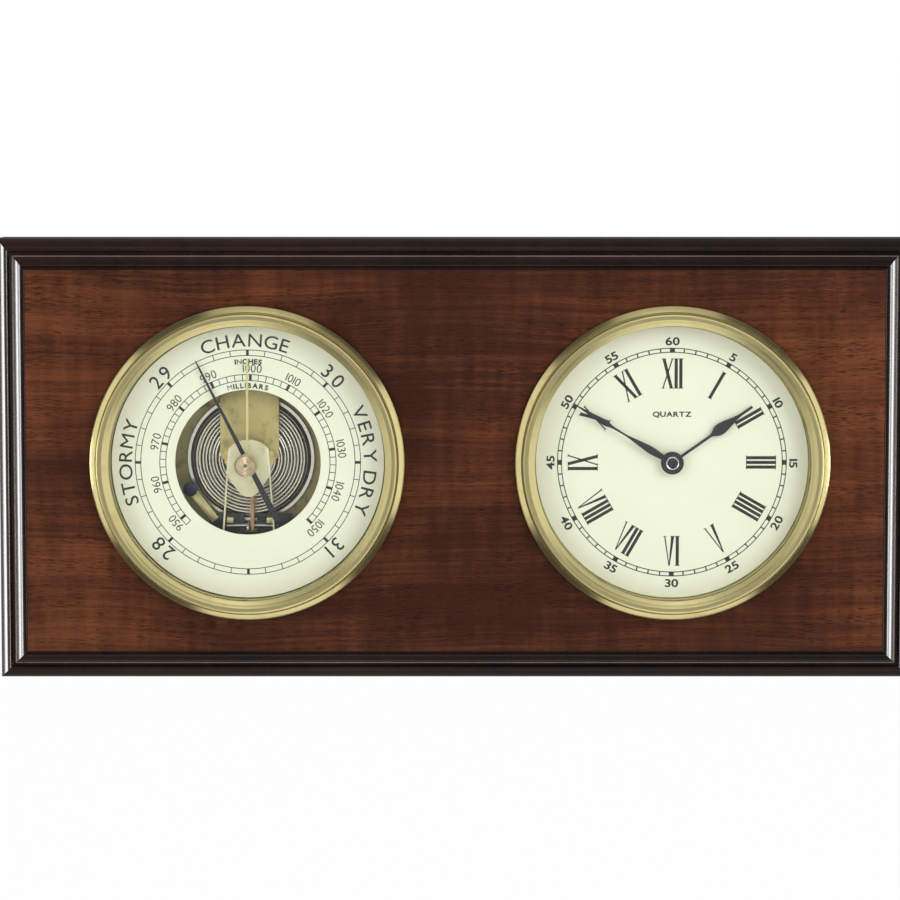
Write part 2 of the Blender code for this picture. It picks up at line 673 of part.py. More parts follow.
def build_barometer_case():
    """Bezel, glass, dial, case, grip ring, spacer ring and base plate."""
    build_bezel("baro_bezel", BARO)
    build_grip("baro_grip_ring", BARO)
    glass = ring("baro_glass", KNOB_SPINDLE_RADIUS + RUN, GLASS_RADIUS, GLASS_LEVEL, GLASS_FRONT, DISC_STEPS)
    stand_up(glass, BARO)
    finish(glass, ((0.9, 0.95, 0.95), 0.0, 0.05), True)
    dial = ring("baro_dial", DIAL_HOLE_RADIUS, DIAL_RADIUS, DIAL_BACK, DIAL_FRONT, DISC_STEPS)
    stand_up(dial, BARO)
    finish(dial, (CREAM, 0.0, 0.5))
    profile = [
        (CASE_RADIUS, CASE_RIM),
        (CASE_RADIUS, BARO_CASE_BACK),
        (0.0, BARO_CASE_BACK),
        (0.0, BARO_FLOOR),
        (CASE_BORE, BARO_FLOOR),
        (CASE_BORE, CASE_RIM),
    ]
    case = open_turned("baro_case", profile)
    stand_up(case, BARO)
    adjuster_hole = circle(0.0, 0.0, ADJUSTER_HEAD_RADIUS + GAP, PIN_STEPS)
    vent_hole = circle(0.0, VENT_UP, VENT_RADIUS, PIN_STEPS)
    holes = [adjuster_hole, vent_hole]
    cut(case, plate("case_holes", holes, BARO_CASE_BACK - OVERCUT, BARO_FLOOR + GAP, True))
    finish(case, (DULL_BRASS, 1.0, 0.45), True)
    bore = DIAL_RADIUS - SPACER_WALL
    spacer = ring("dial_spacer", bore, DIAL_RADIUS, ON_BASE, DIAL_BACK - GAP, DISC_STEPS)
    stand_up(spacer, BARO)
    finish(spacer, (BLACK, 0.0, 0.6), True)
    hole = ADJUSTER_SHANK_RADIUS + RUN
    base = ring("base_plate", hole, DIAL_RADIUS, BASE_BACK, BASE_FRONT, DISC_STEPS)
    stand_up(base, BARO)
    for index in range(3):
        angle = math.radians(90 + 120 * index)
        across = BASE_FOOT_CIRCLE * math.cos(angle)
        up = BASE_FOOT_CIRCLE * math.sin(angle)
        foot_outline = circle(across, up, BASE_FOOT_RADIUS, 16)
        middle = (BASE_BACK + BASE_FRONT) / 2
        join(base, plate("base_foot", [foot_outline], BARO_FLOOR + GAP, middle, True))
    finish(base, (DULL_BRASS, 1.0, 0.5))


def open_turned(name, profile, steps=DISC_STEPS):
    """A turned cup: the profile meets the axis at two neighbouring points, so it starts and ends there."""
    start = next(i for i, point in enumerate(profile) if point[0] == 0.0 and profile[i - 1][0] == 0.0)
    ordered = profile[start:] + profile[:start]
    return turned(name, ordered, False, steps)


def build_capsule():
    """Corrugated aneroid capsule with the post that it pulls on the main spring by."""
    crest = CAPSULE_FRONT - CAPSULE_WAVE_HEIGHT
    shoulder = CAPSULE_RADIUS - CAPSULE_RIM_WIDTH
    rim_front = ON_BASE + CAPSULE_HEIGHT * 0.5
    rim_back = rim_front - CAPSULE_RIM_THICK
    first = CAPSULE_HUB_RADIUS + CAPSULE_LAND
    last = shoulder - CAPSULE_LAND
    profile = [(0.0, CAPSULE_FRONT), (CAPSULE_HUB_RADIUS, CAPSULE_FRONT), (CAPSULE_HUB_RADIUS, crest)]
    half_waves = 2 * CAPSULE_WAVES
    for index in range(half_waves + 1):
        radius = first + (last - first) * index / half_waves
        low = crest - CAPSULE_WAVE_HEIGHT * (index % 2 == 0)
        profile.append((radius, low))
    profile += [
        (shoulder, rim_front),
        (CAPSULE_RADIUS, rim_front),
        (CAPSULE_RADIUS, rim_back),
        (shoulder, rim_back),
        (last, ON_BASE + CAPSULE_WAVE_HEIGHT),
        (CAPSULE_HUB_RADIUS, ON_BASE + CAPSULE_WAVE_HEIGHT),
        (CAPSULE_HUB_RADIUS, ON_BASE),
        (0.0, ON_BASE),
    ]
    capsule = turned("aneroid_capsule", profile, False, CAPSULE_STEPS)
    stand_up(capsule, BARO)
    finish(capsule, (STEEL, 1.0, 0.3), True)


def build_main_spring():
    """Broad leaf from its block down over the capsule to a tongue, and the post that joins the two."""
    half = SPRING_WIDTH / 2
    tongue = SPRING_TONGUE_WIDTH / 2
    outline = [
        (-half, SPRING_ROOT),
        (-half, SPRING_TAPER_START),
        (-tongue, SPRING_TONGUE_START),
        (-tongue, SPRING_TIP),
        (tongue, SPRING_TIP),
        (tongue, SPRING_TONGUE_START),
        (half, SPRING_TAPER_START),
        (half, SPRING_ROOT),
    ]
    drawn = [(x, y - SPRING_AXIS_UP) for x, y in outline]
    leaf = plate("main_spring", [drawn], SPRING_BACK - SPRING_AXIS_LEVEL, SPRING_FRONT - SPRING_AXIS_LEVEL)
    stand_up(leaf, BARO, 0.0, SPRING_AXIS_UP, SPRING_AXIS_LEVEL)
    finish(leaf, (DULL_BRASS, 1.0, 0.35))
    post = rod("capsule_post", POST_RADIUS, CAPSULE_FRONT + GAP, SPRING_BACK - GAP)
    stand_up(post, BARO)
    finish(post, (STEEL, 1.0, 0.4), True)
    low = SPRING_ROOT + GAP
    holder = block("spring_block", (-half, half), (low, low + SPRING_BLOCK_HEIGHT), (ON_BASE, SPRING_FRONT))
    stand_up(holder, BARO)
    finish(holder, (DULL_BRASS, 1.0, 0.45))


def bridge_outline():
    """Front plate of the bridge with its two arms and their round feet, and the hole for the arbor."""
    sagitta = BRIDGE_TOP - BRIDGE_SHOULDER
    radius = (BRIDGE_HALF_WIDTH**2 + sagitta**2) / (2 * sagitta)
    middle = BRIDGE_TOP - radius
    swing = math.asin(BRIDGE_HALF_WIDTH / radius)
    arm = BRIDGE_ARM_WIDTH
    right = []
    for index in range(7):
        angle = swing * index / 6
        right.append((radius * math.sin(angle), middle + radius * math.cos(angle)))
    right.append((BRIDGE_WAIST_HALF_WIDTH, BRIDGE_WAIST))
    opening = math.asin(arm / 2 / BRIDGE_FOOT_RADIUS)
    for index in range(13):
        angle = math.pi / 2 - opening - (2 * math.pi - 2 * opening) * index / 12
        across = BRIDGE_FOOT_OUT + BRIDGE_FOOT_RADIUS * math.cos(angle)
        right.append((across, BRIDGE_FOOT_DOWN + BRIDGE_FOOT_RADIUS * math.sin(angle)))
    right.append((BRIDGE_WAIST_HALF_WIDTH - arm, BRIDGE_WAIST - arm))
    rounded = BRIDGE_TAIL_ROUND
    right.append((BRIDGE_TAIL_HALF_WIDTH + rounded, BRIDGE_TAIL + rounded))
    right.append((BRIDGE_TAIL_HALF_WIDTH + rounded / 3, BRIDGE_TAIL + rounded / 3))
    right.append((BRIDGE_TAIL_HALF_WIDTH * 0.6, BRIDGE_TAIL))
    left = [(-x, y) for x, y in reversed(right[1:])]
    return right + left


def build_bridge():
    """Bridge plate, its folded sides, its pillars and the cock behind it."""
    hole = circle(0.0, 0.0, ARBOR_RADIUS + RUN, PIN_STEPS)
    bridge = plate("bridge", [bridge_outline(), hole], BRIDGE_BACK, BRIDGE_FRONT)
    stand_up(bridge, BARO)
    overlap = BRIDGE_THICK / 2
    for side in (-1, 1):
        inset = RUN / 4
        fold_outline = [
            (side * (BRIDGE_HALF_WIDTH - inset), BRIDGE_SHOULDER - inset),
            (side * (BRIDGE_WAIST_HALF_WIDTH - inset), BRIDGE_WAIST + inset),
            (side * (BRIDGE_WAIST_HALF_WIDTH - BRIDGE_FOLD_THICK), BRIDGE_WAIST + inset),
            (side * (BRIDGE_HALF_WIDTH - BRIDGE_FOLD_THICK), BRIDGE_SHOULDER - inset),
        ]
        fold_back = BRIDGE_BACK - BRIDGE_FOLD_DEPTH
        join(bridge, plate("bridge_fold", [fold_outline], fold_back, BRIDGE_BACK + overlap, True))
        name = "bridge_pillar_left" if side < 0 else "bridge_pillar_right"
        pillar = rod(name, PILLAR_RADIUS, ON_BASE, BRIDGE_BACK - GAP, 16)
        stand_up(pillar, BARO, side * BRIDGE_FOOT_OUT, BRIDGE_FOOT_DOWN)
        finish(pillar, (GOLD, 1.0, 0.35), True)
    finish(bridge, (GOLD, 1.0, 0.3))
    half = COCK_HALF_WIDTH
    corner = COCK_CORNER
    outline = [
        (-half + corner, COCK_BOTTOM),
        (half - corner, COCK_BOTTOM),
        (half, COCK_BOTTOM + corner),
        (half, COCK_TOP - corner),
        (half - corner, COCK_TOP),
        (-half + corner, COCK_TOP),
        (-half, COCK_TOP - corner),
        (-half, COCK_BOTTOM + corner),
    ]
    pivot = circle(0.0, 0.0, ARBOR_PIVOT_RADIUS + RUN, PIN_STEPS)
    cock = plate("bridge_cock", [outline, pivot], COCK_BACK, COCK_FRONT)
    stand_up(cock, BARO)
    for side in (-1, 1):
        post = circle(side * COCK_POST_OUT, COCK_POST_UP, COCK_POST_RADIUS, 12)
        join(cock, plate("cock_post", [post], COCK_FRONT - COCK_THICK / 2, BRIDGE_BACK - GAP, True))
    finish(cock, (GOLD, 1.0, 0.4))


def build_arbor():
    """Arbor with the drum groove that the chain runs on, and the hairspring round it."""
    flange = DRUM_LENGTH / 3
    profile = [
        (0.0, SET_POINTER_BACK - GAP),
        (ARBOR_RADIUS, SET_POINTER_BACK - GAP),
        (ARBOR_RADIUS, DRUM_LEVEL + DRUM_LENGTH / 2 + flange),
        (DRUM_FLANGE_RADIUS, DRUM_LEVEL + DRUM_LENGTH / 2 + flange),
        (DRUM_FLANGE_RADIUS, DRUM_LEVEL + DRUM_LENGTH / 2),
        (DRUM_RADIUS, DRUM_LEVEL + DRUM_LENGTH / 2),
        (DRUM_RADIUS, DRUM_LEVEL - DRUM_LENGTH / 2),
        (DRUM_FLANGE_RADIUS, DRUM_LEVEL - DRUM_LENGTH / 2),
        (DRUM_FLANGE_RADIUS, COCK_FRONT + GAP),
        (ARBOR_PIVOT_RADIUS, COCK_FRONT + GAP),
        (ARBOR_PIVOT_RADIUS, COCK_BACK - RUN),
        (0.0, COCK_BACK - RUN),
    ]
    arbor = turned("arbor", profile, False, PIN_STEPS)
    stand_up(arbor, BARO)
    finish(arbor, (STEEL, 1.0, 0.3), True)
    points = []
    count = round(HAIRSPRING_TURNS * HAIRSPRING_POINTS_A_TURN)
    for index in range(count + 1):
        turns = HAIRSPRING_TURNS * index / count
        radius = HAIRSPRING_INNER + HAIRSPRING_PITCH * turns
        angle = 2 * math.pi * turns
        points.append((radius * math.cos(angle), radius * math.sin(angle), HAIRSPRING_LEVEL))
    wire("hairspring", points, HAIRSPRING_WIRE_RADIUS, STEEL)
    print(f"hairspring: least gap between turns {least_turn_gap(points) * 1000:.2f} mm")


def least_turn_gap(points):
    """Least clear distance between wire points that lie more than half a turn apart."""
    half_turn = HAIRSPRING_POINTS_A_TURN // 2
    least = math.inf
    for index, first in enumerate(points):
        for second in points[index + half_turn :]:
            least = min(least, math.dist(first, second))
    return least - 2 * HAIRSPRING_WIRE_RADIUS


def wire(name, points, radius, colour):
    """A bevelled curve with filled caps through these points."""
    curve = bpy.data.curves.new(name, "CURVE")
    curve.dimensions = "3D"
    curve.bevel_depth = radius
    curve.bevel_resolution = 1
    curve.use_fill_caps = True
    spline = curve.splines.new("POLY")
    spline.points.add(len(points) - 1)
    for point, place in zip(spline.points, points):
        point.co = (*place, 1.0)
    obj = new_object(name, curve)
    stand_up(obj, BARO)
    finish(obj, (colour, 1.0, 0.3))


def build_rocker():
    """Black bracket, the shaft that rocks in it, its two arms and the chain to the drum."""
    half = ROCKER_BRACKET_HALF_WIDTH
    notch = ROCKER_NOTCH_HALF_WIDTH
    notch_floor = ROCKER_BRACKET_BOTTOM + ROCKER_BRACKET_THICK
    outline = [
        (-half, ROCKER_BRACKET_TOP),
        (-half, ROCKER_BRACKET_BOTTOM),
        (half, ROCKER_BRACKET_BOTTOM),
        (half, ROCKER_BRACKET_TOP),
        (notch, ROCKER_BRACKET_TOP),
        (notch, notch_floor),
        (-notch, notch_floor),
        (-notch, ROCKER_BRACKET_TOP),
    ]
    bracket = plate("rocker_bracket", [outline], BRACKET_BACK, BRACKET_FRONT)
    stand_up(bracket, BARO)
    middle = (BRACKET_BACK + BRACKET_FRONT) / 2
    ear_front = ROCKER_LEVEL + ROCKER_EYE_RADIUS
    ear_reach = ROCKER_EYE_RADIUS
    for side in (-1, 1):
        across = sorted((side * ROCKER_EAR_INSET, side * (ROCKER_EAR_INSET + ROCKER_EAR_THICK)))
        up = (ROCKER_DOWN - ear_reach, ROCKER_DOWN + ear_reach)
        join(bracket, block("rocker_ear", across, up, (middle, ear_front), True))
        leg = sorted((side * (half - RUN), side * (half - ROCKER_LEG_WIDTH)))
        leg_up = (ROCKER_BRACKET_BOTTOM + RUN, ROCKER_BRACKET_BOTTOM + ROCKER_LEG_HEIGHT)
        join(bracket, block("rocker_leg", leg, leg_up, (ON_BASE, middle), True))
    pivot_reach = ROCKER_EAR_INSET + ROCKER_EAR_THICK + GAP
    bore = ROCKER_PIVOT_RADIUS + RUN
    reach = pivot_reach + OVERCUT
    hole = rod("rocker_pivot_hole", bore, -reach, reach, PIN_STEPS, True)
    cut(bracket, hole)
    lay_across(hole)
    finish(bracket, (BLACK, 0.6, 0.45))
    shoulder = ROCKER_EAR_INSET - GAP
    profile = [
        (0.0, pivot_reach),
        (ROCKER_PIVOT_RADIUS, pivot_reach),
        (ROCKER_PIVOT_RADIUS, shoulder),
        (ROCKER_SHAFT_RADIUS, shoulder),
        (ROCKER_SHAFT_RADIUS, -shoulder),
        (ROCKER_PIVOT_RADIUS, -shoulder),
        (ROCKER_PIVOT_RADIUS, -pivot_reach),
        (0.0, -pivot_reach),
    ]
    shaft = turned("rocking_shaft", profile, False, PIN_STEPS)
    lay_across(shaft)
    finish(shaft, (STEEL, 1.0, 0.35), True)
    build_arms()


def lay_across(obj):
    """Lay a turned piece along the rocking axis, which runs from side to side."""
    obj.rotation_euler = (0.0, math.pi / 2, 0.0)
    obj.location = (BARO[0], PANEL_Y - ROCKER_LEVEL, BARO[1] + ROCKER_DOWN)


def build_arms():
    """Input arm up to the spring's tongue, output arm forward to the chain, both on the rocking shaft."""
    eye = ROCKER_EYE_RADIUS
    back = SPRING_FRONT + LINK_GAP - ROCKER_LEVEL
    front = back + INPUT_ARM_THICK
    top = INPUT_ARM_TOP - ROCKER_DOWN
    arm = [(-eye, -eye), (eye, -eye), (eye, back), (top, back), (top, front), (-eye, front)]
    input_arm = side_plate("input_arm", arm, INPUT_ARM_ACROSS, INPUT_ARM_WIDTH)
    reach = ROCKER_LEVER + eye / 2
    bar = [(-eye, -eye), (eye, -eye), (eye, eye), (eye / 2, reach), (-eye / 2, reach), (-eye, eye)]
    output_arm = side_plate("output_arm", bar, CHAIN_ACROSS, OUTPUT_ARM_WIDTH)
    for obj, colour in ((input_arm, (0.45, 0.20, 0.10)), (output_arm, STEEL)):
        stand_up(obj, BARO, 0.0, ROCKER_DOWN, ROCKER_LEVEL)
        bore = rod("arm_bore", ROCKER_SHAFT_RADIUS + RUN, -OVERCUT, OVERCUT, PIN_STEPS, True)
        cut(obj, bore)
        lay_across(bore)
        finish(obj, (colour, 1.0, 0.35))
    low = ROCKER_DOWN + eye + GAP
    wire("chain", [(CHAIN_ACROSS, low, DRUM_LEVEL), (CHAIN_ACROSS, 0.0, DRUM_LEVEL)], CHAIN_RADIUS, STEEL)


def build_trim():
    """Thin arm from the bracket up to the blued screw that trims the spring."""
    dx = TRIM_SCREW_ACROSS - TRIM_FOOT_ACROSS
    dy = TRIM_SCREW_DOWN - TRIM_FOOT_DOWN
    length = math.hypot(dx, dy)
    heading = math.degrees(math.atan2(dx, dy))
    half = TRIM_ARM_WIDTH / 2
    straight = [(half, 0.0), (-half, 0.0)]
    for index in range(9):
        angle = math.pi - math.pi * index / 8
        straight.append((half * math.cos(angle), length + half * math.sin(angle)))
    outline = [(x + TRIM_FOOT_ACROSS, y + TRIM_FOOT_DOWN) for x, y in swung(straight, heading)]
    hole = circle(TRIM_SCREW_ACROSS, TRIM_SCREW_DOWN, TRIM_SHANK_RADIUS + RUN, 16)
    low = BRACKET_FRONT + GAP
    high = low + SPRING_THICK
    arm = plate("trim_arm", [outline, hole], low, high)
    stand_up(arm, BARO)
    finish(arm, (GOLD, 1.0, 0.35))
    under = high + GAP
    profile = [
        (0.0, under + TRIM_HEAD_HEIGHT),
        (TRIM_SCREW_RADIUS - TRIM_HEAD_EDGE, under + TRIM_HEAD_HEIGHT),
        (TRIM_SCREW_RADIUS, under + TRIM_HEAD_HEIGHT - TRIM_HEAD_EDGE),
        (TRIM_SCREW_RADIUS, under),
        (TRIM_SHANK_RADIUS, under),
        (TRIM_SHANK_RADIUS, low - RUN * 2),
        (0.0, low - RUN * 2),
    ]
    screw = turned("trim_screw", profile, False, PIN_STEPS)
    stand_up(screw, BARO, TRIM_SCREW_ACROSS, TRIM_SCREW_DOWN)
    finish(screw, ((0.03, 0.04, 0.10), 1.0, 0.3), True)


def build_pressure_hand():
    """Black hand with a flaring tail, swung to the reading, and pressed on the arbor."""
    tail = POINTER_TAIL
    straight = [
        (POINTER_HALF_WIDTH, 0.0),
        (POINTER_TIP_HALF_WIDTH, POINTER_LENGTH * 0.94),
        (0.0, POINTER_LENGTH),
        (-POINTER_TIP_HALF_WIDTH, POINTER_LENGTH * 0.94),
        (-POINTER_HALF_WIDTH, 0.0),
        (-POINTER_TAIL_HALF_WIDTH, -tail),
        (POINTER_TAIL_HALF_WIDTH, -tail * 0.94),
    ]
    hole = circle(0.0, 0.0, ARBOR_RADIUS + RUN, PIN_STEPS)
    hand = plate("pressure_hand", [swung(straight, POINTER_ANGLE), hole], POINTER_BACK, POINTER_FRONT)
    stand_up(hand, BARO)
    bore = circle(0.0, 0.0, ARBOR_RADIUS + RUN, PIN_STEPS)
    hub = [circle(0.0, 0.0, POINTER_HUB_RADIUS, PIN_STEPS), bore]
    join(hand, plate("pressure_hub", hub, POINTER_BACK - RUN, POINTER_FRONT + RUN, True))
    finish(hand, (BLACK, 0.3, 0.4))


def build_set_pointer():
    """Knob in front of the glass, its spindle through it, the washer and the brass set hand."""
    base = GLASS_FRONT + GAP
    top = base + KNOB_HEIGHT
    spindle_end = SET_POINTER_BACK - RUN
    profile = [
        (0.0, top),
        (KNOB_RADIUS - KNOB_EDGE, top),
        (KNOB_RADIUS, top - KNOB_EDGE),
        (KNOB_RADIUS, base + KNOB_HEIGHT * 0.48),
        (KNOB_RADIUS - KNOB_UNDERCUT, base + KNOB_HEIGHT * 0.40),
        (KNOB_NECK_RADIUS, base + KNOB_HEIGHT * 0.34),
        (KNOB_NECK_RADIUS, base + KNOB_FOOT_THICK),
        (KNOB_FOOT_RADIUS, base + KNOB_FOOT_THICK),
        (KNOB_FOOT_RADIUS, base),
        (KNOB_SPINDLE_RADIUS, base),
        (KNOB_SPINDLE_RADIUS, spindle_end),
        (0.0, spindle_end),
    ]
    knob = turned("set_knob", profile, False, PIN_STEPS)
    stand_up(knob, BARO)
    finish(knob, (GOLD, 1.0, 0.2), True)
    bore = KNOB_SPINDLE_RADIUS + RUN / 2
    low = SET_POINTER_FRONT + GAP
    washer = ring("set_washer", bore, SET_WASHER_RADIUS, low, low + SET_WASHER_THICK, PIN_STEPS)
    stand_up(washer, BARO)
    finish(washer, (GOLD, 1.0, 0.3), True)
    half = SET_POINTER_WIDTH / 2
    hub = math.asin(half / SET_POINTER_HUB_RADIUS)
    outline = [(0.0, SET_POINTER_LENGTH)]
    outline.append((-half, SET_POINTER_LENGTH - SET_POINTER_WIDTH * 2))
    for index in range(PIN_STEPS + 1):
        angle = math.pi / 2 + hub + (2 * math.pi - 2 * hub) * index / PIN_STEPS
        outline.append((SET_POINTER_HUB_RADIUS * math.cos(angle), SET_POINTER_HUB_RADIUS * math.sin(angle)))
    outline.append((half, SET_POINTER_LENGTH - SET_POINTER_WIDTH * 2))
    holes = [outline, circle(0.0, 0.0, bore, PIN_STEPS)]
    hand = plate("set_hand", holes, SET_POINTER_BACK, SET_POINTER_FRONT)
    stand_up(hand, BARO)
    finish(hand, (GOLD, 1.0, 0.3))


def build_adjuster():
    """Slotted calibration screw that is turned through the back of the case."""
    head_back = BARO_CASE_BACK - GAP
    head_front = BASE_BACK - GAP
    profile = [
        (0.0, head_back),
        (ADJUSTER_HEAD_RADIUS, head_back),
        (ADJUSTER_HEAD_RADIUS, head_front),
        (ADJUSTER_SHANK_RADIUS, head_front),
        (ADJUSTER_SHANK_RADIUS, BASE_FRONT - RUN),
        (0.0, BASE_FRONT - RUN),
    ]
    screw = turned("calibration_screw", profile, False, PIN_STEPS)
    stand_up(screw, BARO)
    reach = ADJUSTER_HEAD_RADIUS * 2
    slot_half = ADJUSTER_SLOT / 2
    slot_level = (head_back - ADJUSTER_SLOT_DEPTH, head_back + ADJUSTER_SLOT_DEPTH)
    cut(screw, block("adjuster_slot", (-reach, reach), (-slot_half, slot_half), slot_level, True))
    finish(screw, (GOLD, 1.0, 0.35), True)


def build_clock_case():
    """Bezel, glass, dial, open-backed case and grip ring of the clock."""
    build_bezel("clock_bezel", CLOCK)
    build_grip("clock_grip_ring", CLOCK)
    glass = rod("clock_glass", GLASS_RADIUS, GLASS_LEVEL, GLASS_FRONT, DISC_STEPS)
    stand_up(glass, CLOCK)
    finish(glass, ((0.9, 0.95, 0.95), 0.0, 0.05), True)
    dial = ring("clock_dial", BUSH_RADIUS + RUN * 2, DIAL_RADIUS, DIAL_BACK, DIAL_FRONT, DISC_STEPS)
    stand_up(dial, CLOCK)
    finish(dial, (CREAM, 0.0, 0.5))
    seat_front = DIAL_BACK - GAP
    seat_back = seat_front - CLOCK_SEAT_THICK
    profile = [
        (CASE_RADIUS, CASE_RIM),
        (CASE_RADIUS, -CLOCK_CASE_DEPTH),
        (CASE_BORE, -CLOCK_CASE_DEPTH),
        (CASE_BORE, seat_back),
        (CASE_BORE - CLOCK_SEAT_WIDTH, seat_back),
        (CASE_BORE - CLOCK_SEAT_WIDTH, seat_front),
        (CASE_BORE, seat_front),
        (CASE_BORE, CASE_RIM),
    ]
    case = turned("clock_case", profile, True, DISC_STEPS)
    stand_up(case, CLOCK)
    finish(case, (DULL_BRASS, 1.0, 0.45), True)


def build_movement():
    """Movement cover with its bush and nut, body with its battery bay, battery and setting knob."""
    square = rounded_square(MOVEMENT_SIDE, MOVEMENT_CORNER)
    cover = plate("movement_cover", [square], COVER_BACK, MOVEMENT_FRONT)
    stand_up(cover, CLOCK)
    join(cover, rod("bush", BUSH_RADIUS, COVER_BACK + RUN * 5, NUT_FRONT, PIN_STEPS, True))
    bore = BUSH_RADIUS - BUSH_WALL
    cut(cover, rod("bush_bore", bore, COVER_BACK - OVERCUT, NUT_FRONT + OVERCUT, PIN_STEPS, True))
    finish(cover, ((0.05, 0.05, 0.05), 0.0, 0.5))
    nut_bore = BUSH_RADIUS + RUN
    nut = ring("bush_nut", nut_bore, nut_bore + BUSH_NUT_WALL, NUT_BACK, NUT_FRONT, PIN_STEPS)
    stand_up(nut, CLOCK)
    finish(nut, (GOLD, 1.0, 0.3), True)
    body = plate("movement_body", [square], MOVEMENT_BACK, BODY_FRONT)
    stand_up(body, CLOCK)
    bay_across = (-BAY_HALF_LENGTH, BAY_HALF_LENGTH)
    bay_half = BATTERY_RADIUS + GAP
    bay_up = (BATTERY_DOWN - bay_half, BATTERY_DOWN + bay_half)
    bay_floor = BATTERY_LEVEL + BATTERY_RADIUS + GAP
    cut(body, block("battery_bay", bay_across, bay_up, (MOVEMENT_BACK - OVERCUT, bay_floor), True))
    cut(body, rod("pipe_bore", bore, arbor_back() - GAP, BODY_FRONT + OVERCUT, PIN_STEPS, True))
    setter_seat = MOVEMENT_BACK + SETTER_HEIGHT - SETTER_PROUD
    shaft_end = setter_seat + SETTER_HEIGHT
    seat = [
        (0.0, shaft_end + GAP),
        (SETTER_SHAFT_RADIUS + RUN, shaft_end + GAP),
        (SETTER_SHAFT_RADIUS + RUN, setter_seat + GAP),
        (SETTER_RADIUS + 2 * GAP, setter_seat + GAP),
        (SETTER_RADIUS + 2 * GAP, MOVEMENT_BACK - OVERCUT),
        (0.0, MOVEMENT_BACK - OVERCUT),
    ]
    setter_hole = turned("setter_seat", seat, False, PIN_STEPS, True)
    cut(body, setter_hole)
    stand_up(setter_hole, CLOCK, SETTER_ACROSS, SETTER_UP)
    finish(body, ((0.05, 0.05, 0.05), 0.0, 0.5))
    knob_back = MOVEMENT_BACK - SETTER_PROUD
    knob = [
        (0.0, shaft_end),
        (SETTER_SHAFT_RADIUS, shaft_end),
        (SETTER_SHAFT_RADIUS, setter_seat),
        (SETTER_RADIUS, setter_seat),
        (SETTER_RADIUS, knob_back + SETTER_EDGE),
        (SETTER_RADIUS - SETTER_EDGE, knob_back),
        (0.0, knob_back),
    ]
    setter = turned("time_set_knob", knob, False, PIN_STEPS)
    stand_up(setter, CLOCK, SETTER_ACROSS, SETTER_UP)
    finish(setter, ((0.8, 0.8, 0.8), 0.0, 0.5), True)
    build_battery()


def build_battery():
    """Battery lying across its bay, with a contact plate at each end."""
    half = BATTERY_LENGTH / 2
    shoulder = half - BATTERY_NUB_LENGTH
    profile = [
        (0.0, half),
        (BATTERY_NUB_RADIUS, half),
        (BATTERY_NUB_RADIUS, shoulder),
        (BATTERY_RADIUS, shoulder),
        (BATTERY_RADIUS, -half),
        (0.0, -half),
    ]
    battery = turned("battery", profile, False, PIN_STEPS)
    battery.rotation_euler = (0.0, math.pi / 2, 0.0)
    battery.location = (CLOCK[0], PANEL_Y - BATTERY_LEVEL, CLOCK[1] + BATTERY_DOWN)
    finish(battery, ((0.25, 0.25, 0.27), 0.2, 0.35), True)
    start = half + CONTACT_CLEARANCE
    reach = CONTACT_HEIGHT / 2
    up = (BATTERY_DOWN - reach, BATTERY_DOWN + reach)
    level = (BATTERY_LEVEL - reach, BATTERY_LEVEL + reach)
    for side, name in ((-1, "contact_left"), (1, "contact_right")):
        across = sorted((side * start, side * (start + CONTACT_THICK)))
        contact = block(name, across, up, level)
        stand_up(contact, CLOCK)
        finish(contact, (STEEL, 1.0, 0.35))


def arbor_back():
    """Level of the rear end of the clock's hand arbors, inside the movement."""
    return BODY_FRONT - MOVEMENT_COVER_THICK * 2


def hour_outline():
    """Pear-shaped hour hand, pointing up."""
    length = HOUR_LENGTH
    stem = HOUR_STEM_HALF_WIDTH
    leaf = HOUR_LEAF_HALF_WIDTH
    tip = HOUR_TIP_HALF_WIDTH
    right = [
        (stem, 0.0),
        (stem, length * 0.46),
        (leaf * 0.42, length * 0.51),
        (leaf * 0.83, length * 0.56),
        (leaf, length * 0.60),
        (leaf * 0.88, length * 0.66),
        (leaf * 0.57, length * 0.74),
        (tip * 1.8, length * 0.83),
        (tip, length * 0.92),
        (0.0, length),
    ]
    left = [(-x, y) for x, y in reversed(right[:-1])]
    return right + left


def minute_outline():
    """Swelling minute hand with a spear point, pointing up."""
    length = MINUTE_LENGTH
    stem = MINUTE_STEM_HALF_WIDTH
    swell = MINUTE_SWELL_HALF_WIDTH
    spear = MINUTE_SPEAR_HALF_WIDTH
    right = [
        (swell * 0.56, 0.0),
        (swell * 0.84, length * 0.14),
        (swell, length * 0.22),
        (swell * 0.68, length * 0.33),
        (stem, length * 0.45),
        (stem * 1.3, length * 0.60),
        (spear, length * 0.67),
        (spear * 0.70, length * 0.78),
        (spear * 0.35, length * 0.90),
        (0.0, length),
    ]
    left = [(-x, y) for x, y in reversed(right[:-1])]
    return right + left


